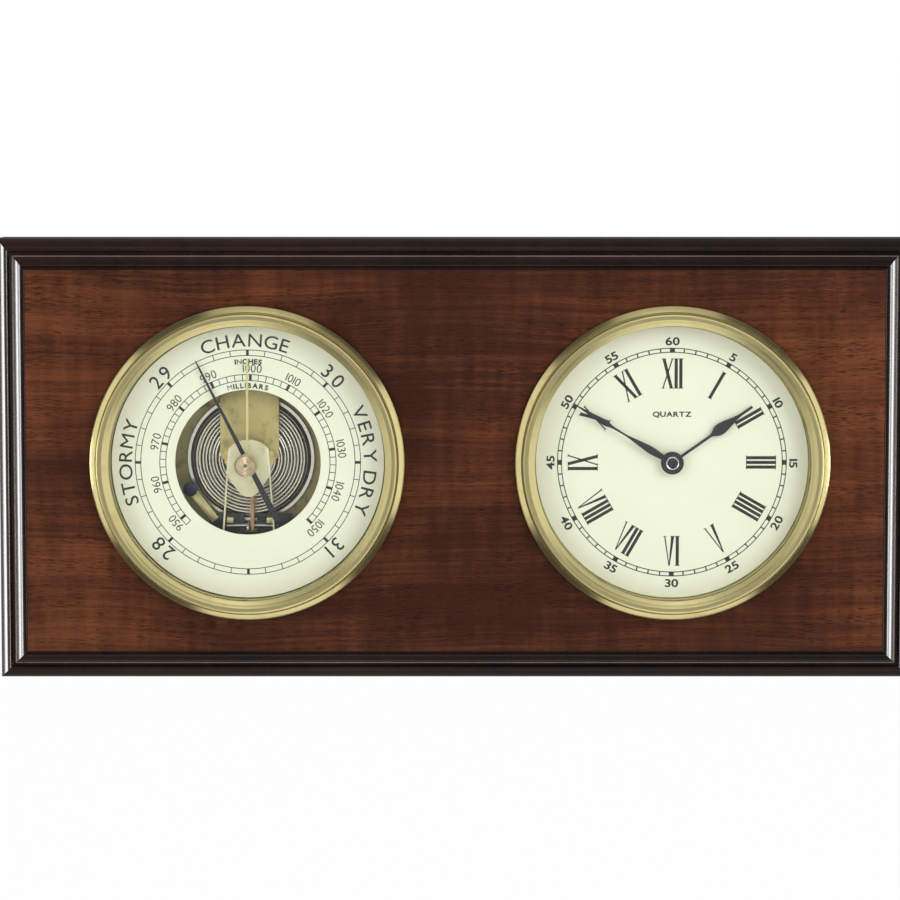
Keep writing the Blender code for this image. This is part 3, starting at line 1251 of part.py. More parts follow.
def build_hands():
    """Hour hand on its pipe, minute hand on its arbor, and the nut that holds it."""
    pipe_bore = PIPE_RADIUS - PIPE_WALL
    hour = plate("hour_hand", [swung(hour_outline(), HOUR_ANGLE)], HOUR_BACK, HOUR_FRONT)
    stand_up(hour, CLOCK)
    join(hour, rod("hour_hub", HOUR_HUB_RADIUS, HOUR_BACK - RUN, HOUR_FRONT + RUN, PIN_STEPS, True))
    bore = PIPE_RADIUS + RUN
    cut(hour, rod("hour_bore", bore, HOUR_BACK - OVERCUT, HOUR_FRONT + OVERCUT, PIN_STEPS, True))
    finish(hour, (BLACK, 0.3, 0.4))
    pipe = ring("hour_pipe", pipe_bore, PIPE_RADIUS, arbor_back(), HOUR_FRONT, PIN_STEPS)
    stand_up(pipe, CLOCK)
    finish(pipe, (GOLD, 1.0, 0.35), True)
    minute = plate("minute_hand", [swung(minute_outline(), MINUTE_ANGLE)], MINUTE_BACK, MINUTE_FRONT)
    stand_up(minute, CLOCK)
    hub_front = MINUTE_FRONT + RUN
    join(minute, rod("minute_hub", MINUTE_HUB_RADIUS, MINUTE_BACK - RUN, hub_front, PIN_STEPS, True))
    bore = MINUTE_ARBOR_RADIUS + RUN
    cut(minute, rod("minute_bore", bore, MINUTE_BACK - OVERCUT, MINUTE_FRONT + OVERCUT, PIN_STEPS, True))
    finish(minute, (BLACK, 0.3, 0.4))
    arbor = rod("minute_arbor", MINUTE_ARBOR_RADIUS, arbor_back(), MINUTE_FRONT)
    stand_up(arbor, CLOCK)
    finish(arbor, (STEEL, 1.0, 0.35), True)
    low = MINUTE_FRONT + RUN + GAP
    profile = [
        (0.0, low + HAND_NUT_HEIGHT),
        (HAND_NUT_RADIUS * 0.6, low + HAND_NUT_HEIGHT),
        (HAND_NUT_RADIUS, low + HAND_NUT_HEIGHT * 0.4),
        (HAND_NUT_RADIUS, low),
        (0.0, low),
    ]
    nut = turned("hand_nut", profile, False, PIN_STEPS)
    stand_up(nut, CLOCK)
    finish(nut, (STEEL, 1.0, 0.2), True)


for old in list(bpy.data.objects):
    bpy.data.objects.remove(old)
PARTS = collection("barometer_clock")
CUTTERS = collection("cutters")
build_board()
build_barometer_case()
build_capsule()
build_main_spring()
build_bridge()
build_arbor()
build_rocker()
build_trim()
build_pressure_hand()
build_set_pointer()
build_adjuster()
build_clock_case()
build_movement()
build_hands()
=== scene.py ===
"""Barometer and quartz clock in one mahogany wall plaque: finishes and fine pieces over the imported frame.

Every piece is drawn as it is seen from the front: x to the right, y up, and level towards the
viewer, with level 0 on the front of the plaque's panel. An Insert or the Plaque turns a drawing
into the row frame, where the front faces -Y and +Z is up. All sizes are in metres.
"""

import logging
import math
from collections.abc import Callable, Sequence
from dataclasses import dataclass, field
from enum import Enum

import bmesh
import bpy
import numpy as np
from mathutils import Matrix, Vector


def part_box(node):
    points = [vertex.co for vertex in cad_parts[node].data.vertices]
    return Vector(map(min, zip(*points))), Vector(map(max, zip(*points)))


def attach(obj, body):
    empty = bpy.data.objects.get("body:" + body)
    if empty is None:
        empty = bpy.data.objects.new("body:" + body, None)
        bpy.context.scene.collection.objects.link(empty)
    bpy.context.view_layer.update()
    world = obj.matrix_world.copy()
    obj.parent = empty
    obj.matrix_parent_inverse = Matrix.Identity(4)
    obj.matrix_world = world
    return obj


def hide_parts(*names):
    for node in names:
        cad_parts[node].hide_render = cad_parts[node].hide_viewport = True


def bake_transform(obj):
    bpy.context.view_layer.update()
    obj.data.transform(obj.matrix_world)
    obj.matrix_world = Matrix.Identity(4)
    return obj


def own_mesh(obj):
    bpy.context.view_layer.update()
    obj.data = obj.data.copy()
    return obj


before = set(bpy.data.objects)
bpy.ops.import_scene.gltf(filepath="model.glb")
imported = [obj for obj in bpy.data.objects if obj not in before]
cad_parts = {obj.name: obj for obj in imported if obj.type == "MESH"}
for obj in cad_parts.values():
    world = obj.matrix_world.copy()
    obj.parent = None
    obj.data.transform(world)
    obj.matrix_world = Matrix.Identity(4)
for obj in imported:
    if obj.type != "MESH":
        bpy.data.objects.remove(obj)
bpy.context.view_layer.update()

LOG = logging.getLogger("barometer_clock")
Point = tuple[float, float]
Profile = list[Point]
Colour = tuple[float, float, float]
Mesh = bpy.types.Mesh
Node = bpy.types.Node
Object = bpy.types.Object
SoftBox = tuple[float, float, float]
Socket = bpy.types.NodeSocket
Tree = bpy.types.NodeTree

FINE_STEPS = 192
ROUND_STEPS = 96
PIN_STEPS = 40
PRINT_LIFT = 0.00002
PRINT_THICK = 0.00003
SAME_PLACE = 0.0000005
SIDES = (-1, 1)


class Reading(Enum):
    """Which side of a ring of lettering its feet stand on."""

    INWARD = 1
    OUTWARD = -1


def panel_level() -> float:
    """World Y of the front of the plaque's panel."""
    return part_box("face_veneer")[0].y


@dataclass(frozen=True)
class Insert:
    """One round instrument: its centre in the plaque, seen from the front."""

    x: float
    z: float
    panel_y: float

    @classmethod
    def around(cls, node: str) -> "Insert":
        """The insert whose axis runs through the middle of a round node.

        Args:
            node: Name of the CAD node.

        Returns:
            The insert.
        """
        low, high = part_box(node)
        middle = (low + high) / 2
        return cls(middle.x, middle.z, panel_level())

    def moved(self, x: float, y: float) -> "Insert":
        """The same plane about a centre x further right and y further up."""
        return Insert(self.x + x, self.z + y, self.panel_y)

    def place(self, x: float, y: float, level: float) -> Vector:
        """World point of a drawn point."""
        return Vector((self.x + x, self.panel_y - level, self.z + y))

    def polar(self, radius: float, degrees: float, level: float) -> Vector:
        """World point at a radius and at degrees clockwise from the top."""
        angle = math.radians(degrees)
        return self.place(radius * math.sin(angle), radius * math.cos(angle), level)

    def level_of(self, node: str) -> tuple[float, float]:
        """Back and front level of a node."""
        low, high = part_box(node)
        return self.panel_y - high.y, self.panel_y - low.y


def swung(points: Sequence[Point], degrees: float) -> Profile:
    """Points turned clockwise about the centre.

    Args:
        points: Drawn points.
        degrees: Turn, clockwise as seen from the front.

    Returns:
        The turned points.
    """
    angle = math.radians(degrees)
    cosine, sine = math.cos(angle), math.sin(angle)
    return [(x * cosine + y * sine, y * cosine - x * sine) for x, y in points]


def mirrored(right: Sequence[Point]) -> Profile:
    """An outline that is the same on both sides, from the points of its right side."""
    return list(right) + [(-x, y) for x, y in reversed(right) if abs(x) > 1e-9]


def rectangle(left: float, low: float, right: float, high: float) -> Profile:
    """Corners of a rectangle, from its lower left one round to its upper left one."""
    return [(left, low), (right, low), (right, high), (left, high)]


def sided(points: Sequence[Point], side: int) -> Profile:
    """Points of the right side as they are, or mirrored to the left where side is -1."""
    return [(side * x, y) for x, y in points]


def circle(x: float, y: float, radius: float, count: int = PIN_STEPS) -> Profile:
    """Points round a circle."""
    turn = 2 * math.pi / count
    return [(x + radius * math.cos(turn * i), y + radius * math.sin(turn * i)) for i in range(count)]


def arc(x: float, y: float, radius: float, start: float, end: float, count: int) -> Profile:
    """Points along an arc.

    Args:
        x: Centre, to the right.
        y: Centre, up.
        radius: Radius of the arc.
        start: First angle in degrees, counter-clockwise from the right.
        end: Last angle in degrees.
        count: Number of steps.

    Returns:
        count + 1 points.
    """
    angles = [math.radians(start + (end - start) * i / count) for i in range(count + 1)]
    return [(x + radius * math.cos(a), y + radius * math.sin(a)) for a in angles]


def smooth_line(points: Sequence[Point], steps: int = 6) -> Profile:
    """A Catmull-Rom curve through points.

    Args:
        points: Points that the curve passes through.
        steps: Steps between two neighbouring points.

    Returns:
        The curve's points, its first and last as given.
    """
    padded = [points[0], *points, points[-1]]
    drawn: Profile = []
    for index in range(1, len(padded) - 2):
        p0, p1, p2, p3 = (np.array(p) for p in padded[index - 1 : index + 3])
        for step in range(steps):
            t = step / steps
            square, cube = (2 * p0 - 5 * p1 + 4 * p2 - p3) * t**2, (3 * p1 - p0 - 3 * p2 + p3) * t**3
            spot = 0.5 * (2 * p1 + (p2 - p0) * t + square + cube)
            drawn.append((float(spot[0]), float(spot[1])))
    drawn.append(tuple(points[-1]))
    return drawn


class NodeTree:
    """Short-hand for filling one node tree."""

    def __init__(self, tree: Tree) -> None:
        """Keep the tree and clear it."""
        self.tree = tree
        tree.nodes.clear()

    def add(self, kind: str, settings: dict | None = None, **inputs: object) -> Node:
        """Add a node.

        Args:
            kind: Node type without its ShaderNode prefix.
            settings: Properties of the node itself.
            inputs: Values or sockets for its inputs, by name with _ for a space, or i0, i1 by place.

        Returns:
            The new node.
        """
        node = self.tree.nodes.new("ShaderNode" + kind if kind[:4] != "Node" else kind)
        for key, value in (settings or {}).items():
            setattr(node, key, value)
        for key, value in inputs.items():
            place = int(key[1:]) if key[0] == "i" and key[1:].isdigit() else key.replace("_", " ")
            if isinstance(value, Socket):
                self.tree.links.new(value, node.inputs[place])
            else:
                node.inputs[place].default_value = value
        return node

    def math(self, operation: str, *values: object) -> Socket:
        """A Math node on one to three values or sockets."""
        inputs = {f"i{index}": value for index, value in enumerate(values)}
        return self.add("Math", {"operation": operation}, **inputs).outputs[0]

    def blend(self, share: object, first: object, second: object) -> Socket:
        """A colour between two colours."""
        node = self.add("Mix", {"data_type": "RGBA"}, i0=share, i6=first, i7=second)
        return node.outputs[2]

    def span(
        self, value: object, low: float, high: float, out_low: float = 0.0, out_high: float = 1.0
    ) -> Socket:
        """A value mapped from one range to another and kept in it."""
        ends = {"i1": low, "i2": high, "i3": out_low, "i4": out_high}
        return self.add("MapRange", {"interpolation_type": "SMOOTHSTEP"}, i0=value, **ends).outputs[0]

    def noise(
        self, vector: object, scale: object, detail: float = 3.0, rough: float = 0.5
    ) -> Socket:
        """Noise, from 0 to 1."""
        node = self.add("TexNoise", None, Vector=vector, Scale=scale, Detail=detail, Roughness=rough)
        return node.outputs["Fac"]

    def stretched(self, vector: object, scale: object) -> Socket:
        """A vector times a scale on each axis."""
        return self.vector("MULTIPLY", vector, scale).outputs[0]

    def vector(self, operation: str, *values: object) -> Node:
        """A Vector Math node on its values or sockets."""
        inputs = {f"i{index}": value for index, value in enumerate(values)}
        return self.add("VectorMath", {"operation": operation}, **inputs)


def rgba(colour: Colour) -> tuple[float, float, float, float]:
    """A colour with full alpha."""
    return (*colour, 1.0)


def fresh_material(name: str) -> tuple[bpy.types.Material, NodeTree]:
    """A new material with an empty node tree.

    Args:
        name: Name of the material.

    Returns:
        The material, and its nodes.
    """
    material = bpy.data.materials.new(name)
    material.use_nodes = True
    return material, NodeTree(material.node_tree)


def linked(name: str, data: bpy.types.ID) -> Object:
    """A new object in the scene.

    Args:
        name: Name of the object.
        data: The mesh, curve, lamp or camera that it shows.

    Returns:
        The object.
    """
    obj = bpy.data.objects.new(name, data)
    bpy.context.scene.collection.objects.link(obj)
    return obj


class Effects:
    """The shader node groups that several finishes share, each built on first use."""

    made: dict[str, Tree] = {}

    @classmethod
    def group(
        cls, name: str, sockets: dict[str, object], fill: Callable[[NodeTree, dict], dict]
    ) -> Tree:
        """Build a group once.

        Args:
            name: Name of the group.
            sockets: Its inputs by name, with a colour, a number or a vector each as the default.
            fill: Function that adds the nodes and returns the Color, Roughness and Height sockets.

        Returns:
            The group.
        """
        if name in cls.made:
            return cls.made[name]
        tree = bpy.data.node_groups.new(name, "ShaderNodeTree")
        nodes = NodeTree(tree)
        for socket, value in sockets.items():
            kind = "NodeSocketFloat"
            if isinstance(value, tuple):
                kind = "NodeSocketColor" if len(value) == 4 else "NodeSocketVector"
            made = tree.interface.new_socket(socket, in_out="INPUT", socket_type=kind)
            made.default_value = value
        for socket, kind in (("Color", "Color"), ("Roughness", "Float"), ("Height", "Float")):
            tree.interface.new_socket(socket, in_out="OUTPUT", socket_type="NodeSocket" + kind)
        entry = nodes.add("NodeGroupInput")
        results = fill(nodes, entry.outputs)
        nodes.add("NodeGroupOutput", None, **results)
        cls.made[name] = tree
        return tree

    @classmethod
    def wood(cls) -> Tree:
        """Lengthwise figure, fine grain lines, open pores and a faint cross ripple.

        Returns:
            The group, which gives Color, Roughness and Height.
        """
        sockets = {"Vector": (0.0, 0.0, 0.0), "Light": (0.2, 0.1, 0.05, 1.0), "Dark": (0.1, 0.04, 0.02, 1.0)}
        sockets |= {"Pore": (0.02, 0.01, 0.01, 1.0), "Pores": 0.5, "Figure": 0.5, "Heart": 0.0, "Gloss": 0.3}
        return cls.group("wood_figure", sockets, cls.fill_wood)

    @staticmethod
    def fill_wood(nodes: NodeTree, given: dict) -> dict:
        """Nodes of the wood group, whose grain runs along X.

        Args:
            nodes: The group's nodes.
            given: Its inputs by name.

        Returns:
            Its outputs by name.
        """
        vector = given["Vector"]
        drift = nodes.noise(nodes.stretched(vector, (9.0, 9.0, 30.0)), 1.0, 2.0)
        wavy = nodes.vector("MULTIPLY_ADD", drift, (0.0, 0.0, 0.012), vector).outputs[0]
        streaks = nodes.noise(nodes.stretched(wavy, (20.0, 20.0, 1000.0)), 1.0, 4.0, 0.6)
        bands = nodes.noise(nodes.stretched(wavy, (5.0, 5.0, 60.0)), 1.0, 3.0, 0.55)
        ripple = nodes.noise(nodes.stretched(wavy, (230.0, 60.0, 45.0)), 1.0, 2.0, 0.5)
        pools = nodes.noise(nodes.stretched(vector, (16.0, 16.0, 22.0)), 1.0, 2.0)
        mixed = nodes.math("MULTIPLY_ADD", streaks, 0.45, nodes.math("MULTIPLY", bands, 0.55))
        mixed = nodes.math("MULTIPLY_ADD", ripple, 0.28, nodes.math("SUBTRACT", mixed, 0.14))
        mixed = nodes.math("MULTIPLY_ADD", given["Figure"], -0.5, mixed)
        mixed = nodes.math("MULTIPLY_ADD", pools, given["Figure"], mixed)
        across = nodes.add("SeparateXYZ", None, i0=vector).outputs[0]
        away = nodes.math("ABSOLUTE", nodes.math("ADD", across, 0.03))
        heart = nodes.math("MULTIPLY", nodes.span(away, 0.02, 0.18, 1.0, 0.0), given["Heart"])
        mixed = nodes.math("SUBTRACT", mixed, heart)
        share = nodes.span(mixed, 0.24, 0.80)
        body = nodes.blend(share, given["Dark"], given["Light"])
        flecks = nodes.noise(nodes.stretched(wavy, (300.0, 300.0, 4200.0)), 1.0, 1.0, 0.4)
        clumps = nodes.noise(nodes.stretched(wavy, (30.0, 30.0, 160.0)), 1.0, 2.0)
        pore = nodes.math("MULTIPLY_ADD", clumps, 0.35, nodes.math("SUBTRACT", flecks, 0.175))
        depth = nodes.span(pore, 0.56, 0.68)
        mask = nodes.math("MULTIPLY", depth, given["Pores"])
        colour = nodes.blend(mask, body, given["Pore"])
        rough = nodes.math("MULTIPLY_ADD", mask, 0.25, given["Gloss"])
        height = nodes.math("SUBTRACT", nodes.math("MULTIPLY", streaks, 0.3), mask)
        return {"Color": colour, "Roughness": rough, "Height": height}

    @classmethod
    def spun(cls) -> Tree:
        """Turning marks that run round an axis along Y, over cloudy tarnish.

        Returns:
            The group, which gives Color, Roughness and Height.
        """
        sockets = {"Vector": (0.0, 0.0, 0.0), "Centre": (0.0, 0.0, 0.0), "Metal": (0.6, 0.5, 0.3, 1.0)}
        sockets |= {"Tarnish": (0.3, 0.2, 0.1, 1.0), "Marks": 0.3, "Wear": 0.3, "Gloss": 0.2}
        return cls.group("spun_marks", sockets, cls.fill_spun)

    @classmethod
    def fill_spun(cls, nodes: NodeTree, given: dict) -> dict:
        """Nodes of the spun group.

        Args:
            nodes: The group's nodes.
            given: Its inputs by name.

        Returns:
            Its outputs by name.
        """
        off = nodes.vector("SUBTRACT", given["Vector"], given["Centre"]).outputs[0]
        radius = nodes.vector("LENGTH", nodes.stretched(off, (1.0, 0.0, 1.0))).outputs["Value"]
        level = nodes.add("SeparateXYZ", None, i0=off).outputs[1]
        along, aside = nodes.math("ADD", radius, level), nodes.math("MULTIPLY", level, 0.7)
        line = nodes.add("CombineXYZ", None, i0=along, i1=aside).outputs[0]
        cloud = nodes.noise(given["Vector"], 130.0, 4.0, 0.6)
        spots = nodes.noise(given["Vector"], 1500.0, 2.0, 0.6)
        patch = nodes.span(nodes.math("MULTIPLY_ADD", spots, 0.3, cloud), 0.60, 0.86)
        return cls.marked_metal(nodes, given, line, (5200.0, 900.0), patch)

    @classmethod
    def brushed(cls) -> Tree:
        """Straight brush marks in one direction, over cloudy tarnish.

        Returns:
            The group, which gives Color, Roughness and Height.
        """
        sockets = {"Vector": (0.0, 0.0, 0.0), "Lay": (1.0, 1.0, 1.0), "Metal": (0.6, 0.5, 0.3, 1.0)}
        sockets |= {"Tarnish": (0.3, 0.2, 0.1, 1.0), "Marks": 0.3, "Wear": 0.3, "Gloss": 0.25}
        return cls.group("brush_marks", sockets, cls.fill_brushed)

    @classmethod
    def fill_brushed(cls, nodes: NodeTree, given: dict) -> dict:
        """Nodes of the brushed group.

        Args:
            nodes: The group's nodes.
            given: Its inputs by name.

        Returns:
            Its outputs by name.
        """
        laid = nodes.stretched(given["Vector"], given["Lay"])
        cloud = nodes.noise(given["Vector"], 260.0, 4.0, 0.6)
        return cls.marked_metal(nodes, given, laid, (6000.0, 1400.0), nodes.span(cloud, 0.45, 0.75))

    @staticmethod
    def marked_metal(
        nodes: NodeTree, given: dict, line: object, scales: tuple[float, float], patch: object
    ) -> dict:
        """What the two metal groups share: fine and broad marks over patches of tarnish.

        Args:
            nodes: The group's nodes.
            given: Its inputs: Metal, Tarnish, Marks, Wear and Gloss.
            line: Vector along which the marks change.
            scales: Scale of the fine and of the broad marks.
            patch: Mask of the tarnished patches.

        Returns:
            The group's outputs.
        """
        fine, broad = nodes.noise(line, scales[0], 2.0, 0.7), nodes.noise(line, scales[1], 2.0, 0.5)
        marks = nodes.math("MULTIPLY_ADD", fine, 0.6, nodes.math("MULTIPLY", broad, 0.4))
        share = nodes.math("MULTIPLY", patch, given["Wear"])
        shade = nodes.math("MULTIPLY_ADD", marks, given["Marks"], share)
        kept = nodes.math("SUBTRACT", shade, nodes.math("MULTIPLY", given["Marks"], 0.5))
        colour = nodes.blend(nodes.span(kept, 0.0, 1.0), given["Metal"], given["Tarnish"])
        rough = nodes.math("MULTIPLY_ADD", marks, nodes.math("MULTIPLY", given["Marks"], 0.3), given["Gloss"])
        rough = nodes.math("MULTIPLY_ADD", share, 0.2, rough)
        return {"Color": colour, "Roughness": rough, "Height": marks}

    @classmethod
    def skin(cls) -> Tree:
        """Fine grain of a moulded, painted or printed surface, with slow drifts of shade.

        Returns:
            The group, which gives Color, Roughness and Height.
        """
        sockets = {"Vector": (0.0, 0.0, 0.0), "Base": (0.5, 0.5, 0.5, 1.0), "Drift": (0.4, 0.4, 0.4, 1.0)}
        sockets |= {"Grain": 900.0, "Depth": 0.2, "Gloss": 0.4}
        return cls.group("moulded_skin", sockets, cls.fill_skin)

    @staticmethod
    def fill_skin(nodes: NodeTree, given: dict) -> dict:
        """Nodes of the skin group.

        Args:
            nodes: The group's nodes.
            given: Its inputs by name.

        Returns:
            Its outputs by name.
        """
        grain = nodes.noise(given["Vector"], given["Grain"], 3.0, 0.6)
        slow = nodes.noise(given["Vector"], 45.0, 2.0)
        share = nodes.math("MULTIPLY_ADD", grain, 0.5, nodes.math("MULTIPLY", slow, 0.5))
        share = nodes.math("MULTIPLY", nodes.span(share, 0.35, 0.65), given["Depth"])
        colour = nodes.blend(share, given["Base"], given["Drift"])
        rough = nodes.math("MULTIPLY_ADD", grain, 0.12, nodes.math("SUBTRACT", given["Gloss"], 0.06))
        return {"Color": colour, "Roughness": rough, "Height": grain}


@dataclass(frozen=True)
class Finish:
    """What every finish has: a name, a gloss and how deep its relief is."""

    name: str
    gloss: float = 0.3
    relief: float = 0.00002
    coat: float = 0.0
    coat_gloss: float = 0.08
    metallic: float = 0.0
    specular: float = 0.5

    def group(self) -> Tree:
        """The node group that draws the finish."""
        raise NotImplementedError

    def values(self, group: Tree) -> dict[str, object]:
        """What the finish gives to its group, whose inputs bear the names of the finish's fields.

        Args:
            group: The group.

        Returns:
            A value for each input but the vector.
        """
        given = {}
        for item in group.interface.items_tree:
            if item.in_out == "INPUT" and item.name != "Vector":
                value = getattr(self, item.name.lower())
                given[item.name] = rgba(value) if item.socket_type == "NodeSocketColor" else value
        return given

    def coordinates(self, nodes: NodeTree) -> Socket:
        """Where the finish's patterns are read: the row frame's own coordinates."""
        return nodes.add("TexCoord").outputs["Object"]

    def build(self) -> bpy.types.Material:
        """The material, made once.

        Returns:
            The material of this name.
        """
        kept = bpy.data.materials.get(self.name)
        if kept is not None and kept.get("dressed"):
            return kept
        material, nodes = fresh_material(self.name)
        material["dressed"] = True
        group, place = self.group(), self.coordinates(nodes)
        effect = nodes.add("Group", {"node_tree": group}, Vector=place, **self.values(group))
        shader = nodes.add("BsdfPrincipled", None, Base_Color=effect.outputs["Color"])
        nodes.tree.links.new(effect.outputs["Roughness"], shader.inputs["Roughness"])
        bump = nodes.add("Bump", None, Distance=self.relief, Height=effect.outputs["Height"])
        nodes.tree.links.new(bump.outputs[0], shader.inputs["Normal"])
        shader.inputs["Metallic"].default_value = self.metallic
        shader.inputs["Specular IOR Level"].default_value = self.specular
        shader.inputs["Coat Weight"].default_value = self.coat
        shader.inputs["Coat Roughness"].default_value = self.coat_gloss
        nodes.add("OutputMaterial", None, Surface=shader.outputs[0])
        return material


@dataclass(frozen=True)
class Wood(Finish):
    """Lacquered wood, its grain along X."""

    light: Colour = (0.15, 0.05, 0.02)
    dark: Colour = (0.06, 0.02, 0.01)
    pore: Colour = (0.02, 0.008, 0.006)
    pores: float = 0.8
    figure: float = 0.5
    heart: float = 0.0

    def group(self) -> Tree:
        """The wood group."""
        return Effects.wood()


@dataclass(frozen=True)
class Spun(Finish):
    """Metal turned or spun about an insert's axis."""

    metal: Colour = (0.7, 0.6, 0.35)
    tarnish: Colour = (0.4, 0.3, 0.14)
    marks: float = 0.25
    wear: float = 0.25
    centre: tuple[float, float, float] = (0.0, 0.0, 0.0)
    metallic: float = 1.0

    def group(self) -> Tree:
        """The spun group."""
        return Effects.spun()


@dataclass(frozen=True)
class Brushed(Finish):
    """Metal with straight upright brush marks."""

    lay: tuple[float, float, float] = (1.0, 1.0, 0.04)
    metal: Colour = (0.6, 0.6, 0.6)
    tarnish: Colour = (0.3, 0.3, 0.3)
    marks: float = 0.3
    wear: float = 0.3
    metallic: float = 1.0

    def group(self) -> Tree:
        """The brushed group."""
        return Effects.brushed()


@dataclass(frozen=True)
class Skin(Finish):
    """Moulded plastic, rubber, paint, enamel or print."""

    base: Colour = (0.05, 0.05, 0.05)
    drift: Colour = (0.03, 0.03, 0.03)
    grain: float = 900.0
    depth: float = 0.5

    def group(self) -> Tree:
        """The skin group."""
        return Effects.skin()


@dataclass(frozen=True)
class ClearGlass:
    """Clear window glass, which lets lamp light through to the dial."""

    name: str
    ior: float = 1.45

    def build(self) -> bpy.types.Material:
        """The material: glass to the eye, and a clear sheet to shadow and scattered rays.

        Returns:
            A new material.
        """
        material, nodes = fresh_material(self.name)
        place = nodes.add("TexCoord").outputs["Object"]
        smears = nodes.noise(nodes.stretched(place, (30.0, 30.0, 90.0)), 1.0, 3.0)
        rough = nodes.span(smears, 0.3, 0.8, 0.0, 0.03)
        bump = nodes.add("Bump", None, Distance=0.000002, Strength=0.2, Height=smears)
        shader = nodes.add("BsdfPrincipled", None, Base_Color=(0.985, 1.0, 0.985, 1.0), Roughness=rough)
        shader.inputs["IOR"].default_value = self.ior
        shader.inputs["Transmission Weight"].default_value = 1.0
        nodes.tree.links.new(bump.outputs[0], shader.inputs["Normal"])
        through = nodes.add("BsdfTransparent", None, Color=(0.97, 0.98, 0.97, 1.0))
        path = nodes.add("LightPath")
        either = nodes.math("MAXIMUM", path.outputs["Is Shadow Ray"], path.outputs["Is Diffuse Ray"])
        both = nodes.add("MixShader", None, i0=either, i1=shader.outputs[0], i2=through.outputs[0])
        nodes.add("OutputMaterial", None, Surface=both.outputs[0])
        return material


@dataclass
class Maker:
    """Builds pieces about one insert and hangs each on its body."""

    insert: Insert
    steps: int = ROUND_STEPS

    def piece(
        self,
        name: str,
        mesh: Mesh,
        body: str,
        finish: Finish | ClearGlass,
        replaces: Sequence[str] = (),
        slot: str = "",
    ) -> Object:
        """Link a piece, dress it and hang it on its body.

        Args:
            name: Name of the piece.
            mesh: Its mesh in the row frame.
            body: CAD body that it moves with, or nothing for a piece hung on no body.
            finish: Its finish.
            replaces: CAD nodes that it stands for.
            slot: Material slot of a record; not used.

        Returns:
            The object.
        """
        obj = linked(name, mesh)
        mesh.materials.clear()
        mesh.materials.append(finish.build())
        if body:
            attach(obj, body)
        if replaces:
            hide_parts(*replaces)
        if slot or replaces:
            slot or replaces[0]
        LOG.info("%s: %d faces", name, len(mesh.polygons))
        return obj

    def spun(self, name: str, gloss: float, metal: Colour, tarnish: Colour, **more: float) -> Spun:
        """A spun finish whose marks run round this insert's axis."""
        centre = (self.insert.x, 0.0, self.insert.z)
        return Spun(name, gloss=gloss, metal=metal, tarnish=tarnish, centre=centre, **more)

    def lathe(
        self, profile: Profile, closed: bool = False, steps: int = 0, sharp: float = 32.0
    ) -> Mesh:
        """A mesh turned about the insert's axis.

        Args:
            profile: (radius, level) points.
            closed: Whether the last point joins the first.
            steps: Steps round, or 0 for the maker's own.
            sharp: Angle in degrees from which an edge is sharp.

        Returns:
            The mesh, in the row frame.
        """
        count = steps or self.steps
        bm = bmesh.new()
        rings: list[list[bmesh.types.BMVert]] = []
        for radius, level in profile:
            if radius < 1e-9:
                rings.append([bm.verts.new(self.insert.place(0.0, 0.0, level))])
                continue
            turn = 360.0 / count
            rings.append([bm.verts.new(self.insert.polar(radius, turn * i, level)) for i in range(count)])
        pairs = list(zip(rings, rings[1:]))
        if closed:
            pairs.append((rings[-1], rings[0]))
        for first, second in pairs:
            if len(first) == 1 and len(second) == 1:
                continue
            for i in range(count):
                j = (i + 1) % count
                corners = [first[i % len(first)], first[j % len(first)]]
                corners += [second[j % len(second)], second[i % len(second)]]
                bm.faces.new(dict.fromkeys(corners))
        return settle(bm, "turned", sharp)

    def plate(
        self, outlines: Sequence[Profile], low: float, high: float, bevel: float = 0.0, sharp: float = 32.0
    ) -> Mesh:
        """A flat piece with softened edges, cut to outlines.

        Args:
            outlines: Outer and inner outlines, drawn about the insert's centre.
            low: Level of its back.
            high: Level of its front.
            bevel: Size of its edge bevel.
            sharp: Angle in degrees from which an edge is sharp.

        Returns:
            The mesh, in the row frame.
        """
        curve = bpy.data.curves.new("outline", "CURVE")
        curve.dimensions = "2D"
        curve.fill_mode = "BOTH"
        curve.extrude = (high - low) / 2 - bevel
        curve.bevel_depth = bevel
        curve.bevel_resolution = 1
        curve.offset = -bevel
        for outline in outlines:
            add_loop(curve, [(x, y, 0.0) for x, y in outline])
        bm = bm_of(curve)
        for vert in bm.verts:
            x, y, level = vert.co
            vert.co = self.insert.place(x, y, level + (low + high) / 2)
        return settle(bm, "cut", sharp)


def add_loop(curve: bpy.types.Curve, places: Sequence[Sequence[float]]) -> None:
    """Add a closed line to a curve.

    Args:
        curve: The curve.
        places: The points of the line, each with x, y and z.
    """
    spline = curve.splines.new("POLY")
    spline.points.add(len(places) - 1)
    for point, place in zip(spline.points, places):
        point.co = (*place, 1.0)
    spline.use_cyclic_u = True


def bm_of(curve: bpy.types.Curve) -> bmesh.types.BMesh:
    """The evaluated faces of a curve, with its doubles merged.

    Args:
        curve: The curve, whose object is removed.

    Returns:
        The faces.
    """
    drawn = linked("drawn", curve)
    graph = bpy.context.evaluated_depsgraph_get()
    mesh = bpy.data.meshes.new_from_object(drawn.evaluated_get(graph))
    bpy.data.objects.remove(drawn)
    bm = bmesh.new()
    bm.from_mesh(mesh)
    bpy.data.meshes.remove(mesh)
    bmesh.ops.remove_doubles(bm, verts=bm.verts, dist=SAME_PLACE)
    return bm


